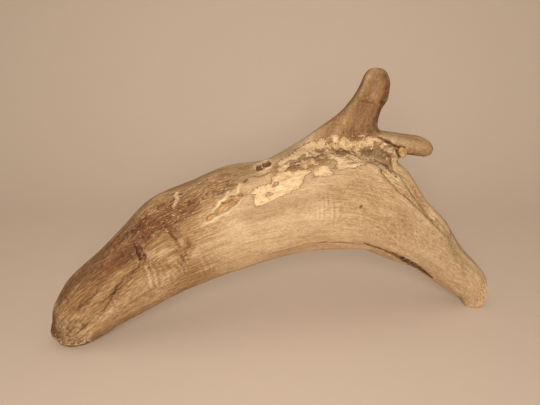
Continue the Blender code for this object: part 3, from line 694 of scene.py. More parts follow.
def bake_modifiers(obj):
    mesh = evaluated_mesh(obj)
    obj.modifiers.clear()
    obj.data = mesh


def triangle_count(mesh):
    mesh.calc_loop_triangles()
    return len(mesh.loop_triangles)


def rows_of(items, field, width, kind=float):
    values = np.empty(width * len(items), dtype=kind)
    items.foreach_get(field, values)
    return values.reshape(-1, width)


def mesh_points(mesh):
    return rows_of(mesh.vertices, "co", 3) / MM


def mesh_normals(mesh):
    return rows_of(mesh.vertex_normals, "vector", 3)


def mesh_edges(mesh):
    return rows_of(mesh.edges, "vertices", 2, np.int64)


def set_points(mesh, points):
    mesh.vertices.foreach_set("co", (points * MM).ravel())
    mesh.update()


def store(mesh, name, values):
    """Keeps a number or a vector for each vertex under a name that the materials read."""
    kind, field = ("FLOAT_VECTOR", "vector") if values.ndim == 2 else ("FLOAT", "value")
    attribute = mesh.attributes.new(name, kind, "POINT")
    attribute.data.foreach_set(field, values.astype(np.float32).ravel())


def s_curve(share):
    share = np.clip(share, 0, 1)
    return share**2 * (3 - 2 * share)


def cell_values(cells, seed):
    """A fixed random value between -1 and 1 for each cell of a lattice."""
    mixed = (cells * (73856093, 19349663, 83492791)).sum(axis=1) + seed * 26544357
    mixed = (mixed ^ (mixed >> 13)) * 1274126177
    mixed ^= mixed >> 16
    return (mixed & 0xFFFF) / 32767.5 - 1


def noise(points, size, seed):
    """Smooth noise between -1 and 1 at each point, with features of the given size."""
    places = points / size
    cells = np.floor(places).astype(np.int64)
    share = places - cells
    share = share**3 * (share * (6 * share - 15) + 10)
    total = np.zeros(len(points))
    for corner in product((0, 1), repeat=3):
        weight = np.prod(np.where(np.array(corner) == 1, share, 1 - share), axis=1)
        total += weight * cell_values(cells + corner, seed)
    return total


def rough_noise(points, size, seed, layers=3):
    """Noise with finer and weaker noise on it."""
    return sum(noise(points, size / 2**layer, seed + layer) / 2**layer for layer in range(layers))


def nearest_on_line(points, line):
    """For each point: how far it lies from a line, the reach or radius there, and the place along it."""
    line = np.array(line, dtype=float)
    gap = np.full(len(points), np.inf)
    reach = np.ones(len(points))
    along = np.zeros(len(points))
    if len(line) == 1:
        return np.linalg.norm(points - line[0, :3], axis=1), reach * line[0, 3], along
    travelled = 0
    for start, end in zip(line, line[1:]):
        run = end[:3] - start[:3]
        length = np.linalg.norm(run)
        share = np.clip((points - start[:3]) @ run / length**2, 0, 1)
        distance = np.linalg.norm(points - start[:3] - share[:, None] * run, axis=1)
        closer = distance < gap
        gap = np.where(closer, distance, gap)
        reach = np.where(closer, start[3] + (end[3] - start[3]) * share, reach)
        along = np.where(closer, travelled + share * length, along)
        travelled += length
    return gap, reach, along


def strength(points, line, fade):
    """1 on a line and 0 at its reach, dying out over the last part of it."""
    line = np.array(line, dtype=float)
    lowest = (line[:, :3] - line[:, 3:]).min(axis=0)
    highest = (line[:, :3] + line[:, 3:]).max(axis=0)
    near = np.all((points > lowest) & (points < highest), axis=1)
    gap, reach, _ = nearest_on_line(points[near], line)
    amount = np.zeros(len(points))
    amount[near] = s_curve((1 - gap / reach) / fade)
    return amount


def laid_on(points, line):
    """A smooth line laid on the skin: each of its points goes to the nearest vertex. A wide one stays put."""
    if max(row[3] for row in line) > WIDEST_LAID:
        return line
    if len(line) > 1:
        line = smooth_line(line, MARK_STEP)
    nearest = [((points - row[:3])**2).sum(axis=1).argmin() for row in np.array(line, dtype=float)]
    return [(*points[index], row[3]) for index, row in zip(nearest, line)]


def smooth_line(line, step):
    """Points on a smooth curve through a list of points, about a step apart."""
    rows = [np.array(row, dtype=float) for row in line]
    padded = [2 * rows[0] - rows[1], *rows, 2 * rows[-1] - rows[-2]]
    smooth = []
    for before, start, end, after in zip(padded, padded[1:], padded[2:], padded[3:]):
        count = max(1, round(np.linalg.norm(end[:3] - start[:3]) / step))
        for share in np.arange(count) / count:
            smooth.append(0.5 * (
                2 * start
                + (end - before) * share
                + (2 * before - 5 * start + 4 * end - after) * share**2
                + (3 * start - before - 3 * end + after) * share**3
            ))
    smooth.append(rows[-1])
    return np.array(smooth)


def limb_frame(points, limb):
    """For each point: its place up, across and along a limb, the way the limb runs, and how far off it is."""
    line = smooth_line(limb.line, LIMB_STEP)
    gap, radius, along = nearest_on_line(points, line)
    lengths = np.concatenate(([0], np.cumsum(np.linalg.norm(np.diff(line[:, :3], axis=0), axis=1))))
    centre = np.column_stack([np.interp(along, lengths, line[:, axis]) for axis in range(3)])
    headings = np.gradient(line[:, :3], axis=0)
    heading = np.column_stack([np.interp(along, lengths, headings[:, axis]) for axis in range(3)])
    heading /= np.linalg.norm(heading, axis=1)[:, None]
    away = np.array((0.0, 1.0, 0.0))
    depth = away - (heading @ away)[:, None] * heading
    depth /= np.linalg.norm(depth, axis=1)[:, None]
    rise = np.cross(depth, heading)
    offset = points - centre
    place = np.column_stack([
        (offset * rise).sum(axis=1),
        (offset * depth).sum(axis=1),
        limb.leaves_at + along + (offset * heading).sum(axis=1),
    ])
    radii_off = gap / radius
    return place, heading, radii_off


def grain_frame(points):
    """The place of each point in the grain, and the way that the grain runs there."""
    places, headings, weights = 0, 0, 0
    for limb in LIMBS:
        place, heading, distance = limb_frame(points, limb)
        weight = np.exp(-LIMB_PULL * distance)[:, None]
        places = places + place * weight
        headings = headings + heading * weight
        weights = weights + weight
    headings /= np.linalg.norm(headings, axis=1)[:, None]
    return places / weights, headings


def depth_inside(chart, outline):
    """How far each place on the chart lies inside an outline; outside it the number is negative."""
    corners = np.array(outline, dtype=float)
    gap = np.full(len(chart), np.inf)
    inside = np.zeros(len(chart), dtype=bool)
    for start, end in zip(corners, np.roll(corners, -1, axis=0)):
        run = end - start
        share = np.clip((chart - start) @ run / (run @ run), 0, 1)
        gap = np.minimum(gap, np.linalg.norm(chart - start - share[:, None] * run, axis=1))
        crosses = (start[1] > chart[:, 1]) != (end[1] > chart[:, 1])
        rise = np.where(run[1] == 0, 1, run[1])
        inside ^= crosses & (chart[:, 0] < start[0] + (chart[:, 1] - start[1]) * run[0] / rise)
    return np.where(inside, gap, -gap)


def worn_layer(points, normals, grain, broken):
    """How deep each point lies in the peeled band, in millimetres: above 0 the cream wood is bare."""
    up = np.array((0, math.sin(CHART_TILT), math.cos(CHART_TILT)))
    facing = normals @ np.array((0, -math.cos(CHART_TILT), math.sin(CHART_TILT)))
    chart = np.column_stack([points[:, 0], points @ up])
    stretched = grain * (1, 1, FLAKE_STRETCH)
    broken = np.clip(broken, 0, 1)
    swing = 1 - STRIP_CALM * s_curve((points[:, 0] - STRIP_START) / STRIP_RUN)
    wander = rough_noise(stretched, EDGE_SIZE, EDGE_DRAW, layers=4) * swing
    layer = depth_inside(chart, BAND) + wander * BAND_EDGE + LAYER_BIAS
    for outline in ISLANDS.values():
        layer = np.minimum(layer, -depth_inside(chart, outline) + wander * ISLAND_EDGE)
    layer = np.minimum(layer, DEEPEST_WHOLE + (DEEPEST_BROKEN - DEEPEST_WHOLE) * broken)
    flakes = rough_noise(stretched, FLAKE_SIZE, FLAKE_DRAW, layers=4)
    layer += flakes * swing * (FLAKE_WHOLE + FLAKE_BROKEN * broken)
    return np.maximum(layer - FACING_FALL * np.maximum(0, FACING_LEAST - facing), NO_LAYER)


def ribs():
    """The ribs of the washboard, side by side."""
    for number in range(RIB_COUNT):
        line = [tuple(value + number * step for value, step in zip(point, RIB_STEP)) for point in RIB.line]
        fading = RIB_FADE**number
        yield RIB._replace(line=line, height=RIB.height * fading, tone=RIB.tone * fading)


def neighbour_mean(values, edges):
    """For each vertex, the middle of its neighbours."""
    count = len(values)
    ends = np.concatenate([edges, edges[:, ::-1]])
    degree = np.bincount(ends[:, 0], minlength=count)
    sums = [np.bincount(ends[:, 0], weights=values[ends[:, 1], axis], minlength=count) for axis in range(3)]
    return np.column_stack(sums) / degree[:, None]


def relax(points, edges, rounds, share):
    for _ in range(rounds):
        points = points + share * (neighbour_mean(points, edges) - points)
    return points


def split_fine_ground(mesh):
    """Splits the faces of the busy ground in four."""
    shape = bmesh.new()
    shape.from_mesh(mesh)
    shape.faces.ensure_lookup_table()
    centres = np.array([face.calc_center_median() for face in shape.faces]) / MM
    busy = np.zeros(len(centres), dtype=bool)
    for line in FINE_LINES:
        gap, reach, _ = nearest_on_line(centres, line)
        busy |= gap < reach
    edges = {edge for index in np.nonzero(busy)[0] for edge in shape.faces[index].edges}
    bmesh.ops.subdivide_edges(shape, edges=list(edges), cuts=1, use_grid_fill=True)
    bmesh.ops.triangulate(shape, faces=[face for face in shape.faces if len(face.verts) > 4])
    shape.to_mesh(mesh)
    shape.free()


def raw_skin(voxel):
    """An even mesh over the plain wood, finer where there is most to see, with its facets relaxed."""
    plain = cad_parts["driftwood"].data.copy()
    shape = bmesh.new()
    shape.from_mesh(plain)
    bmesh.ops.remove_doubles(shape, verts=shape.verts, dist=WELD_GAP * MM)
    shape.to_mesh(plain)
    shape.free()
    skin = add_object("driftwood_skin", plain)
    remesh = skin.modifiers.new("even", "REMESH")
    remesh.mode = "VOXEL"
    remesh.voxel_size = voxel
    bake_modifiers(skin)
    split_fine_ground(skin.data)
    points = mesh_points(skin.data)
    share = np.full((len(points), 1), RELAX_SHARE)
    for line in OPEN_CRACKS:
        share *= 1 - CRACK_KEPT * strength(points, line, CRACK_FADE)[:, None]
    share *= s_curve(points[:, 2:] / RELAX_HEIGHT)
    set_points(skin.data, relax(points, mesh_edges(skin.data), RELAX_ROUNDS, share))
    return skin


def warp_layers(points):
    """Small moves of each point by noise, coarse ones first."""
    for size, height, draw in WARPS:
        yield np.column_stack([noise(points, size, draw + axis) for axis in range(3)]) * height


def ripples(points, grain):
    """Waves across the grain that drift and come in patches."""
    drift = DRIFT_ANGLE * noise(points, DRIFT_SIZE, DRIFT_DRAW)
    waves = np.sin(2 * math.pi * grain[:, 2] / RIPPLE_LENGTH + drift)
    return waves * (RIPPLE_MEAN + RIPPLE_SWING * noise(points, PATCH_SIZE, PATCH_DRAW))


def wear(skin, step):
    """Moves the skin in and out along the marks and the layer, and keeps what the material reads."""
    mesh = skin.data
    points = mesh_points(mesh)
    normals = mesh_normals(mesh)
    grain, headings = grain_frame(points)
    warp = sum(warp_layers(points))
    tints = {name: np.zeros(len(points)) for name in TINTS}
    lift = np.zeros(len(points))
    for mark in [*MARKS.values(), *ribs()]:
        amount = strength(points + warp, laid_on(points, mark.line), mark.fade)
        lift += amount * mark.height
        for name in TINTS:
            tints[name] += amount * getattr(mark, name)
    tints["fray"] *= s_curve((points[:, 2] - FIBRE_CLEARANCE) / FIBRE_CLEARANCE)
    layer = worn_layer(points, normals, grain, tints["broken"])
    lift -= step * s_curve(layer / LAYER_SOFT + 0.5)
    flutes = noise(grain / (FLUTE_ACROSS, FLUTE_ACROSS, FLUTE_ALONG), 1, FLUTE_DRAW)
    lift += flutes * FLUTE_HEIGHT * (FLUTE_CALM + tints["rough"])
    lumps = np.minimum(rough_noise(points, LUMP_SIZE, LUMP_DRAW), LUMP_TOP)
    lift += lumps * LUMP_HEIGHT * np.clip(tints["rough"] - LUMP_START, 0, 1)
    ripple = ripples(points, grain) * tints["ripple"]
    lift += ripple * RIPPLE_HEIGHT
    # Painted light and shade: the wood is paler on the ripples' crests and darker in their troughs.
    tints["tone"] += ripple * RIPPLE_PAINTED_LIGHT
    lift *= s_curve(points[:, 2] / WEAR_HEIGHT)
    points = points + normals * lift[:, None]
    points[:, 2] = np.maximum(points[:, 2], 0)
    set_points(mesh, points)
    store(mesh, "grain", grain)
    store(mesh, "heading", headings)
    store(mesh, "layer", layer)
    for name, values in tints.items():
        store(mesh, name, np.clip(values, -1, 1))


def store_hollows(mesh):
    """Keeps how hollow the skin is at each vertex, in millimetres; bumps are negative."""
    points = mesh_points(mesh)
    softer = relax(points, mesh_edges(mesh), HOLLOW_ROUNDS, HOLLOW_SHARE)
    store(mesh, "hollow", ((softer - points) * mesh_normals(mesh)).sum(axis=1))


def make_relief_tree(material):
    """Geometry nodes: fine furrows along the grain, deeper where the skin is rough."""
    nodes, given, result = start_group("Grain relief", "GeometryNodeTree", [
        ("Geometry", "NodeSocketGeometry", None),
        ("Depth", "NodeSocketFloat", 0.0005),
        ("Across", "NodeSocketFloat", 2.0),
        ("Along", "NodeSocketFloat", 25.0),
    ], [("Geometry", "NodeSocketGeometry")])
    scale = nodes.add("ShaderNodeCombineXYZ", {
        "X": given["Across"], "Y": given["Across"], "Z": given["Along"],
    })
    place = nodes.vector("DIVIDE", nodes.stored("grain", "FLOAT_VECTOR"), scale.outputs["Vector"])
    furrows = nodes.add("ShaderNodeTexNoise", {"Vector": place, "Scale": 1.0, "Detail": 3.0})
    centred = nodes.math("SUBTRACT", furrows.outputs["Fac"], 0.5)
    amount = nodes.line(nodes.stored("rough", "FLOAT"), FURROW_ROUGH, FURROW_CALM)
    height = nodes.times(centred, given["Depth"], amount)
    offset = nodes.vector("SCALE", nodes.add("GeometryNodeInputNormal").outputs["Normal"], height)
    moved = nodes.add("GeometryNodeSetPosition", {"Geometry": given["Geometry"], "Offset": offset})
    return finish_tree(nodes, result, moved.outputs["Geometry"], material)


def finish_tree(nodes, result, geometry, material):
    """Makes a tree's geometry real, paints it and hands it out."""
    real = nodes.add("GeometryNodeRealizeInstances", {"Geometry": geometry})
    painted = nodes.add("GeometryNodeSetMaterial", {
        "Geometry": real.outputs["Geometry"], "Material": material,
    })
    nodes.feed(result.inputs["Geometry"], painted.outputs["Geometry"])
    return nodes.tree


def make_fibre_tree(material):
    """Geometry nodes: thin fibres on frayed skin that follow the grain and stand up a little."""
    nodes, given, result = start_group("Loose fibres", "GeometryNodeTree", [
        ("Geometry", "NodeSocketGeometry", None),
        ("Density", "NodeSocketFloat", 500000.0),
        ("Length", "NodeSocketFloat", 0.003),
        ("Radius", "NodeSocketFloat", 0.0003),
        ("Lift", "NodeSocketFloat", 0.25),
        ("Seed", "NodeSocketInt", 4),
    ], [("Geometry", "NodeSocketGeometry")])
    frayed = nodes.math("MAXIMUM", nodes.stored("fray", "FLOAT"), 0.0)
    scatter = nodes.add("GeometryNodeDistributePointsOnFaces", {
        "Mesh": given["Geometry"],
        "Density": nodes.times(frayed, given["Density"]),
        "Seed": given["Seed"],
    }, distribute_method="RANDOM")
    fibre = nodes.add("GeometryNodeMeshCone", {
        "Vertices": 5, "Side Segments": 3, "Radius Top": 0.1, "Radius Bottom": 1.0, "Depth": 1.0,
    })
    tilt = nodes.add("FunctionNodeRandomValue", {"Seed": given["Seed"]}, data_type="FLOAT_VECTOR")
    centred = nodes.vector("SUBTRACT", tilt.outputs["Value"], (0.5, 0.5, 0.5))
    sideways = nodes.vector("SCALE", centred, FIBRE_STRAY)
    raised = nodes.vector("SCALE", scatter.outputs["Normal"], given["Lift"])
    heading = nodes.add("GeometryNodeSampleNearestSurface", {
        "Mesh": given["Geometry"],
        "Value": nodes.stored("heading", "FLOAT_VECTOR"),
        "Sample Position": nodes.add("GeometryNodeInputPosition").outputs["Position"],
    }, data_type="FLOAT_VECTOR")
    way = nodes.vector("ADD", nodes.vector("ADD", heading.outputs["Value"], raised), sideways)
    turn = nodes.add("FunctionNodeAlignRotationToVector", {"Vector": way}, axis="Z")
    share = nodes.add("FunctionNodeRandomValue", {"Seed": given["Seed"]}, data_type="FLOAT")
    grown = nodes.line(share.outputs[1], FIBRE_GROWTH, FIBRE_SHORTEST)
    size = nodes.add("ShaderNodeCombineXYZ", {
        "X": given["Radius"], "Y": given["Radius"], "Z": nodes.times(grown, given["Length"]),
    })
    planted = nodes.add("GeometryNodeInstanceOnPoints", {
        "Points": scatter.outputs["Points"],
        "Instance": fibre.outputs["Mesh"],
        "Rotation": turn.outputs["Rotation"],
        "Scale": size.outputs["Vector"],
    })
    return finish_tree(nodes, result, planted.outputs["Instances"], material)


def run_tree(obj, tree, values):
    """Runs a geometry node tree on an object with the given inputs."""
    modifier = obj.modifiers.new(tree.name, "NODES")
    modifier.node_group = tree
    for name, value in values.items():
        modifier[socket_identifier(tree, name)] = value
    bake_modifiers(obj)


def streak_group():
    """Noise drawn out along the grain, mostly between -1 and 1."""
    nodes, given, result = start_group("Streaks", "ShaderNodeTree", [
        ("Grain", "NodeSocketVector", None),
        ("Across", "NodeSocketFloat", 1.0),
        ("Along", "NodeSocketFloat", 20.0),
        ("Detail", "NodeSocketFloat", 2.0),
        ("Sway", "NodeSocketFloat", 0.4),
    ], [("Value", "NodeSocketFloat")])
    scale = nodes.add("ShaderNodeCombineXYZ", {
        "X": given["Across"], "Y": given["Across"], "Z": given["Along"],
    })
    place = nodes.vector("DIVIDE", given["Grain"], scale.outputs["Vector"])
    streaks = nodes.add("ShaderNodeTexNoise", {
        "Vector": place, "Scale": 1.0, "Detail": given["Detail"], "Distortion": given["Sway"],
    })
    centred = nodes.math("SUBTRACT", streaks.outputs["Fac"], 0.5)
    nodes.feed(result.inputs["Value"], nodes.times(centred, STREAK_GAIN))
    return nodes.tree


def stain_group():
    """Lays a colour over another where a mask is strong, with a mottled edge."""
    nodes, given, result = start_group("Stain", "ShaderNodeTree", [
        ("Under", "NodeSocketColor", None),
        ("Over", "NodeSocketColor", None),
        ("Mask", "NodeSocketFloat", 0.0),
        ("Mottle", "NodeSocketFloat", 0.0),
        ("Sharpness", "NodeSocketFloat", 2.0),
    ], [("Color", "NodeSocketColor")])
    shifted = nodes.sum(given["Mask"], nodes.times(given["Mottle"], given["Mask"]))
    raised = nodes.math("POWER", nodes.math("MAXIMUM", shifted, 0.0), given["Sharpness"])
    amount = nodes.math("MINIMUM", raised, 1.0)
    nodes.feed(result.inputs["Color"], nodes.blend(amount, given["Under"], given["Over"]))
    return nodes.tree


class WoodShader:
    """Builds the wood's colour, height and roughness from the marks kept on the mesh."""

    def __init__(self, look):
        self.look = look
        self.nodes, _, self.result = start_group("Weathered wood", "ShaderNodeTree", [], [
            ("Color", "NodeSocketColor"), ("Height", "NodeSocketFloat"), ("Roughness", "NodeSocketFloat"),
        ])
        nodes = self.nodes
        self.stain = stain_group()
        self.tint = {name: nodes.read(name) for name in (*TINTS, "layer", "hollow")}
        self.noise = self.add_streaks()
        self.rough = nodes.limited(self.tint["rough"], 0.0, 1.0)
        self.calm = nodes.math("SUBTRACT", 1.0, self.rough)
        self.scabby = nodes.step(self.rough, 0.3, 0.9)
        patchy = nodes.sum(self.noise["mottle"], self.noise["fine"], self.noise["blotch"])
        self.patchy = nodes.times(patchy, 0.4)
        self.parts = self.tone_parts()

    def add_streaks(self):
        """The noises of the wood, by name."""
        nodes = self.nodes
        group = streak_group()
        grain = nodes.read("grain", "Vector")
        noise = {}
        for name, (across, along, detail, sway) in STREAKS.items():
            streak = nodes.add("ShaderNodeGroup", node_tree=group)
            values = {"Grain": grain, "Across": across, "Along": along, "Detail": detail, "Sway": sway}
            for socket, value in values.items():
                nodes.feed(streak.inputs[socket], value)
            noise[name] = streak.outputs["Value"]
        for name in CRISP:
            noise[name] = nodes.line(nodes.step(noise[name], -0.7, 0.7), 1.6, -0.8)
        return noise

    def paint(self, name):
        """One of the look's colours, opaque."""
        return (*getattr(self.look, name + "_colour"), 1)

    def ramp(self, tone, stops):
        """The colour of a tone, by (tone, name of a colour) stops."""
        node = self.nodes.add("ShaderNodeValToRGB", {"Fac": tone})
        elements = node.color_ramp.elements
        for element, (position, name) in zip(elements, (stops[0], stops[-1])):
            element.position = position
            element.color = self.paint(name)
        for position, name in stops[1:-1]:
            elements.new(position).color = self.paint(name)
        return node.outputs["Color"]

    def stained(self, colour, name, sharpness):
        """The colour with the stain of one tint laid over it."""
        node = self.nodes.add("ShaderNodeGroup", node_tree=self.stain)
        values = {
            "Under": colour, "Over": self.paint(name), "Mask": self.tint[name],
            "Mottle": self.patchy, "Sharpness": sharpness,
        }
        for socket, value in values.items():
            self.nodes.feed(node.inputs[socket], value)
        return node.outputs["Color"]

    def tone_parts(self):
        """What varies the tone of the old wood."""
        nodes, tint, noise = self.nodes, self.tint, self.noise
        streaky = nodes.math("MAXIMUM", nodes.line(tint["rough"], 0.11, 0.05), 0.015)
        return {
            "grain": nodes.times(nodes.sum(noise["fine"], nodes.times(noise["broad"], 0.55)), streaky),
            "flecks": nodes.times(noise["fleck"], nodes.line(self.calm, 0.04, 0.02)),
            "mottle": nodes.times(noise["mottle"], nodes.line(self.calm, 0.06, 0.02)),
            "blotches": nodes.times(noise["blotch"], 0.05),
            "pores": nodes.times(nodes.step(noise["mottle"], -0.85, -1.3), -0.16),
            # Painted shade: the wood is made darker in its hollows, where shade falls.
            "painted_hollow_shade": nodes.times(nodes.step(tint["hollow"], 0.02, 0.45), -0.17),
            "worn bumps": nodes.times(nodes.step(tint["hollow"], -0.02, -0.4), 0.09),
            "crumbled": nodes.times(tint["broken"], -0.14),
        }

    def old_wood(self):
        """The older surface, with its stains, and with scabs and chips where it is rough."""
        nodes, crust = self.nodes, self.noise["crust"]
        tone = nodes.sum(self.look.body_tone, self.tint["tone"], *self.parts.values())
        colour = self.ramp(tone, OLD_WOOD)
        colour = self.stained(colour, "olive", 1.2)
        colour = self.stained(colour, "rust", 1.5)
        scabs = nodes.times(nodes.step(crust, -0.15, -0.8), self.scabby, 0.65)
        colour = nodes.blend(scabs, colour, self.paint("dark"))
        chips = nodes.times(nodes.step(crust, 0.3, 0.9), self.scabby, 0.35)
        return nodes.blend(chips, colour, self.paint("tan"))

    def peel_depth(self):
        """How deep the wood lies in the peeled layer, with a ragged edge. Above 0 it is bare."""
        nodes, noise = self.nodes, self.noise
        ragged = nodes.sum(nodes.times(noise["mottle"], 0.4), nodes.times(noise["fleck"], 0.2))
        torn = nodes.times(noise["flake"], nodes.line(self.tint["broken"], 2.6, 0.7))
        return nodes.sum(self.tint["layer"], ragged, torn)

    def filmed(self, colour, depth):
        """Lays a patchy grey film on the old surface round the bare wood."""
        nodes, noise = self.nodes, self.noise
        patches_of_film = nodes.step(nodes.sum(noise["blotch"], noise["mottle"]), -0.9, 0.7)
        film = nodes.times(nodes.stripe(depth, *FILM), patches_of_film)
        film = nodes.times(film, nodes.line(self.tint["broken"], 0.35, 0.5))
        return nodes.blend(film, colour, self.paint("film"))

    def bare_wood(self, depth):
        """The cream wood of the peeled layer."""
        nodes, tint, noise, parts = self.nodes, self.tint, self.noise, self.parts
        tone = nodes.sum(
            self.look.cream_tone,
            nodes.times(parts["grain"], nodes.line(self.rough, 2.0, 1.2)),
            nodes.times(noise["mottle"], 0.12),
            parts["flecks"],
            parts["blotches"],
            nodes.times(nodes.step(depth, 1.5, 1.8), 0.1),
            nodes.times(tint["tone"], 0.9),
            nodes.times(tint["broken"], 0.06),
            # Half of the painted shade of the hollows.
            nodes.times(parts["painted_hollow_shade"], 0.5),
        )
        return self.ramp(tone, BARE_WOOD)

    def outlined_with_step_shadow(self, colour, depth):
        """Draws the dark rim of the peeled layer, in part painted shadow of its step, and two weaker lines
        further in.
        """
        nodes, noise = self.nodes, self.noise
        # Painted shadow: the rim darkens the edge where the old surface steps down to the bare wood.
        rim = nodes.stripe(depth, *RIM_AND_STEP_SHADOW)
        inner = nodes.math("MAXIMUM", nodes.stripe(depth, *FIRST_LINE), nodes.stripe(depth, *SECOND_LINE))
        inner = nodes.times(inner, nodes.line(self.tint["broken"], 0.7, 0.3))
        lines = nodes.math("MAXIMUM", rim, nodes.times(inner, 0.8))
        gaps = nodes.step(nodes.sum(noise["blotch"], noise["crust"]), -1.1, 0.0)
        return nodes.blend(nodes.times(lines, gaps, 0.9), colour, self.paint("dark"))

    def gritty(self, colour):
        """Makes the colour lighter and darker by the finest grain."""
        nodes, noise = self.nodes, self.noise
        grit = nodes.sum(
            noise["fine"], nodes.times(noise["mottle"], 0.6), nodes.times(noise["crust"], self.scabby),
        )
        grit = nodes.times(grit, nodes.line(self.rough, 0.12, 0.03))
        return nodes.vector("SCALE", colour, nodes.sum(grit, 1.0))

    def build(self):
        """Joins the parts and gives back the node group."""
        nodes, noise = self.nodes, self.noise
        depth = self.peel_depth()
        peeled = nodes.step(depth, -0.12, 0.12)
        colour = self.filmed(self.old_wood(), depth)
        colour = nodes.blend(peeled, colour, self.bare_wood(depth))
        colour = self.outlined_with_step_shadow(colour, depth)
        colour = self.stained(colour, "ochre", 1.3)
        # Partly painted shade: cracks, holes, nicks and pits are darkened as if shaded, and dark spots are
        # stained.
        colour = self.stained(colour, "soot", 1.6)
        nodes.feed(self.result.inputs["Color"], self.gritty(colour))
        height = nodes.sum(
            nodes.times(noise["fine"], nodes.sum(self.rough, 0.3)),
            nodes.times(noise["fleck"], 0.35),
            nodes.times(noise["mottle"], nodes.times(self.calm, 0.25)),
            nodes.times(noise["crust"], self.rough),
            nodes.times(peeled, -1.2),
        )
        nodes.feed(self.result.inputs["Height"], height)
        dull = nodes.sum(0.8, nodes.times(noise["fine"], 0.05), nodes.times(self.rough, 0.08))
        nodes.feed(self.result.inputs["Roughness"], dull)
        return nodes.tree


def start_material(name):
    """A new material, the builder of its nodes and its surface shader."""
    material = bpy.data.materials.new(name)
    material.use_nodes = True
    return material, Nodes(material.node_tree), material.node_tree.nodes["Principled BSDF"]


def patches(nodes, scale, dark, light):
    """Soft patches of two colours; scale is how many there are in a metre."""
    place = nodes.add("ShaderNodeTexCoord").outputs["Object"]
    cloud = nodes.add("ShaderNodeTexNoise", {"Vector": place, "Scale": scale, "Detail": 2.0})
    return nodes.blend(cloud.outputs["Fac"], (*dark, 1), (*light, 1))


def wood_material(look):
    material, nodes, shader = start_material("weathered_wood")
    wood = nodes.add("ShaderNodeGroup", node_tree=WoodShader(look).build())
    bump = nodes.add("ShaderNodeBump", {
        "Height": wood.outputs["Height"], "Strength": look.bump_strength, "Distance": look.bump_depth,
    })
    shader.inputs["Specular IOR Level"].default_value = WOOD_SHINE
    nodes.feed(shader.inputs["Base Color"], wood.outputs["Color"])
    nodes.feed(shader.inputs["Roughness"], wood.outputs["Roughness"])
    nodes.feed(shader.inputs["Normal"], bump.outputs["Normal"])
    return material


def fibre_material(look):
    """Bleached fibres, paler than the wood that they stand on."""
    material, nodes, shader = start_material("bleached_fibre")
    colour = patches(nodes, FIBRE_PATCHES, look.tan_colour, look.cream_colour)
    nodes.feed(shader.inputs["Base Color"], colour)
    shader.inputs["Roughness"].default_value = FIBRE_ROUGHNESS
    return material


def floor_material(stage):
    material, nodes, shader = start_material("pale_floor")
    darker = tuple(FLOOR_SHADE * value for value in stage.floor_colour)
    nodes.feed(shader.inputs["Base Color"], patches(nodes, FLOOR_PATCHES, darker, stage.floor_colour))
    shader.inputs["Roughness"].default_value = FLOOR_ROUGHNESS
    return material


def srgb(red, green, blue):
    """A colour as a screen shows it, from 0 to 255, as the linear values that shaders take."""
    shares = (red / 255, green / 255, blue / 255)
    return tuple(share / 12.92 if share <= 0.04045 else ((share + 0.055) / 1.055) ** 2.4 for share in shares)


def colour_property(name, description, screen_colour):
    return FloatVectorProperty(name=name, description=description, subtype="COLOR", size=3, min=0, max=1,
                               default=srgb(*screen_colour))


def length_property(name, description, default, least, most):
    return FloatProperty(name=name, description=description, default=default, min=least, max=most,
                         subtype="DISTANCE", unit="LENGTH", precision=5)


def share_property(name, description, default):
    return FloatProperty(name=name, description=description, default=default, min=0, max=1, subtype="FACTOR")


def power_property(name, description, default):
    return FloatProperty(name=name, description=description, default=default, min=0, subtype="POWER",
                         unit="POWER")


class WoodLook(bpy.types.PropertyGroup):
    """Sizes and colours of the wood."""

    voxel: length_property("Mesh size", "Spacing of the skin's mesh away from the busy ground",
                           0.0017, 0.001, 0.005)
    layer_step: length_property("Layer step", "How far the bare cream layer lies below the old surface",
                                0.0008, 0, 0.003)
    relief_depth: length_property("Furrow depth", "Depth of the fine furrows along the grain",
                                  0.0009, 0, 0.003)
    bump_depth: length_property("Bump depth", "Depth of the finest grain, made by shading alone",
                                0.00022, 0, 0.002)
    bump_strength: share_property("Bump strength", "Share of the finest grain that shows", 0.6)
    body_tone: share_property("Body tone", "How pale the smooth wood is, 0 deep brown and 1 cream", 0.56)
    cream_tone: share_property("Band tone", "How pale the bare layer is, on the same scale", 0.62)
    deep_colour: colour_property("Deep brown", "Darkest wood", (66, 42, 24))
    dark_colour: colour_property("Dark brown", "Dark streaks and stains", (104, 70, 39))
    brown_colour: colour_property("Brown", "Brown wood", (150, 112, 70))
    tan_colour: colour_property("Tan", "Smooth wood of the body", (187, 155, 115))
    pale_colour: colour_property("Pale tan", "Worn ridges", (215, 184, 143))
    cream_colour: colour_property("Cream", "Freshly bared wood", (236, 207, 160))
    strip_colour: colour_property("Strip", "Bare wood that has greyed a little", (204, 169, 123))
    film_colour: colour_property("Old film", "The old surface round the bare band", (146, 114, 80))
    olive_colour: colour_property("Olive", "Grey-olive stains", (136, 113, 80))
    rust_colour: colour_property("Rust", "Rotted, reddish wood", (126, 76, 42))
    ochre_colour: colour_property("Ochre", "Orange wood in the gouge", (204, 156, 88))
    # Partly painted shade inside cracks, holes and pits, partly dark stains and spots.
    soot_colour: colour_property("Soot", "The inside of cracks and holes", (56, 37, 24))
    fibre_density: IntProperty(name="Fibre density", default=1_800_000, min=0,
                               description="Fibres per square metre of fully frayed wood")
    fibre_length: length_property("Fibre length", "Length that loose fibres vary round", 0.003, 0.0005, 0.01)
    fibre_radius: length_property("Fibre radius", "Radius at the root of a fibre", 0.00022, 0.00005, 0.001)
    seed: IntProperty(name="Seed", default=4, min=0,
                      description="Which fixed draw the fibres are scattered by")


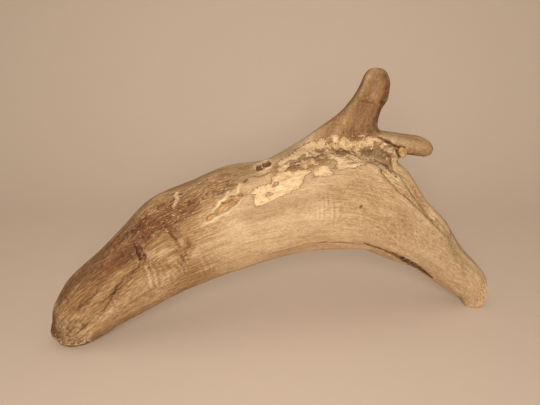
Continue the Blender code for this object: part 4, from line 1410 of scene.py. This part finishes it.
class StageLook(bpy.types.PropertyGroup):
    """The plain floor and the soft light."""

    floor_size: length_property("Floor size", "Width and depth of the floor", 10, 1, 100)
    sweep_start: length_property("Sweep start", "How far behind the wood the floor starts to rise",
                                 0.26, 0.1, 10)
    sweep_radius: length_property("Sweep radius", "Radius of the rise behind the wood", 0.5, 0.1, 10)
    floor_colour: colour_property("Floor", "The plain pale floor", (208, 186, 163))
    key_power: power_property("Key light", "Power of the soft light above the camera", 2.95)
    fill_power: power_property("Fill light", "Power of the large light overhead", 2.5)
    world_colour: colour_property("Surroundings", "Faint light from all sides", (255, 246, 236))
    world_strength: FloatProperty(name="Surrounding light", default=0.5, min=0,
                                  description="Strength of the light from all sides")


class DRIFTWOOD_OT_skin(bpy.types.Operator):
    """Make the worn skin that stands for the plain wood"""

    bl_idname = "driftwood.skin"
    bl_label = "Make skin"

    def execute(self, context):
        look = context.scene.driftwood_look
        material = wood_material(look)
        skin = raw_skin(look.voxel)
        wear(skin, look.layer_step / MM)
        run_tree(skin, make_relief_tree(material), {"Depth": look.relief_depth})
        store_hollows(skin.data)
        skin.data.shade_smooth()
        count = triangle_count(skin.data)
        if count > MOST_TRIANGLES:
            raise RuntimeError(f"the skin has {count} triangles, over {MOST_TRIANGLES}")
        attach(skin, "root")
        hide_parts("driftwood")
        return {"FINISHED"}


class DRIFTWOOD_OT_fibres(bpy.types.Operator):
    """Scatter loose fibres over the frayed ground"""

    bl_idname = "driftwood.fibres"
    bl_label = "Scatter fibres"

    def execute(self, context):
        look = context.scene.driftwood_look
        skin = bpy.data.objects.get("driftwood_skin")
        if skin is None:
            raise RuntimeError("make the skin before the fibres")
        fibres = add_object("loose_fibres", skin.data.copy())
        run_tree(fibres, make_fibre_tree(fibre_material(look)), {
            "Density": float(look.fibre_density),
            "Length": look.fibre_length,
            "Radius": look.fibre_radius,
            "Seed": look.seed,
        })
        if not fibres.data.polygons:
            raise RuntimeError("no fibre was scattered")
        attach(fibres, "root")
        return {"FINISHED"}


class DRIFTWOOD_OT_stage(bpy.types.Operator):
    """Lay the floor, hang the lights and set the camera"""

    bl_idname = "driftwood.stage"
    bl_label = "Set stage"

    def execute(self, context):
        stage = context.scene.driftwood_stage
        floor = add_object("floor", sweep_mesh(stage))
        floor.data.materials.append(floor_material(stage))
        floor.data.shade_smooth()
        add_light("key", stage.key_power)
        add_light("fill", stage.fill_power)
        light_world(stage)
        add_camera(context)
        context.scene.view_settings.view_transform = "Standard"
        return {"FINISHED"}


def sweep_mesh(stage):
    """A floor that bends up into a backdrop behind the wood."""
    half = stage.floor_size / 2
    profile = [(-half, 0), (stage.sweep_start, 0)]
    for step in range(1, SWEEP_STEPS + 1):
        turn = math.radians(90) * step / SWEEP_STEPS
        profile.append((
            stage.sweep_start + stage.sweep_radius * math.sin(turn),
            stage.sweep_radius * (1 - math.cos(turn)),
        ))
    profile.append((stage.sweep_start + stage.sweep_radius, half))
    corners = [(side * half, along, height) for along, height in profile for side in (-1, 1)]
    faces = [(2 * row, 2 * row + 1, 2 * row + 3, 2 * row + 2) for row in range(len(profile) - 1)]
    mesh = bpy.data.meshes.new("floor")
    mesh.from_pydata(corners, [], faces)
    return mesh


def add_light(name, power):
    """A square soft light that faces the wood and fades towards the sides."""
    lamp = LAMPS[name]
    light = bpy.data.lights.new(name, "AREA")
    light.size = lamp.size
    light.spread = math.radians(lamp.spread)
    light.energy = power
    obj = add_object(name, light)
    obj.location = lamp.place
    aim = (CAD_LOW + CAD_HIGH) / 2 - Vector(lamp.place)
    obj.rotation_euler = aim.to_track_quat("-Z", "Y").to_euler()


def light_world(stage):
    world = bpy.data.worlds.new("surroundings")
    world.use_nodes = True
    background = world.node_tree.nodes["Background"]
    background.inputs["Color"].default_value = (*stage.world_colour, 1)
    background.inputs["Strength"].default_value = stage.world_strength
    bpy.context.scene.world = world


def add_camera(context):
    camera = bpy.data.cameras.new("camera")
    camera.lens = CAMERA_LENS
    camera.sensor_width = CAMERA_SENSOR
    camera.clip_start = CAMERA_CLIP
    obj = add_object("camera", camera)
    obj.location = Vector(CAMERA_PLACE) * MM
    obj.rotation_euler = (CAMERA_TILT, 0, 0)
    context.scene.camera = obj


class DRIFTWOOD_PT_panel(bpy.types.Panel):
    """Lists the steps and the looks in the sidebar"""

    bl_label = "Driftwood"
    bl_space_type = "VIEW_3D"
    bl_region_type = "UI"
    bl_category = "Driftwood"

    def draw(self, context):
        for settings in (context.scene.driftwood_look, context.scene.driftwood_stage):
            box = self.layout.box()
            for name in settings.bl_rna.properties.keys():
                if name not in ("rna_type", "name"):
                    box.prop(settings, name)
        for operator in OPERATORS:
            self.layout.operator(operator.bl_idname)


OPERATORS = (DRIFTWOOD_OT_skin, DRIFTWOOD_OT_fibres, DRIFTWOOD_OT_stage)
CLASSES = (WoodLook, StageLook, *OPERATORS, DRIFTWOOD_PT_panel)


def register():
    for cls in CLASSES:
        bpy.utils.register_class(cls)
    bpy.types.Scene.driftwood_look = PointerProperty(type=WoodLook)
    bpy.types.Scene.driftwood_stage = PointerProperty(type=StageLook)


def unregister():
    del bpy.types.Scene.driftwood_stage
    del bpy.types.Scene.driftwood_look
    for cls in reversed(CLASSES):
        bpy.utils.unregister_class(cls)


def main():
    register()
    bpy.ops.driftwood.skin()
    bpy.ops.driftwood.fibres()
    bpy.ops.driftwood.stage()


if __name__ == "__main__":
    main()
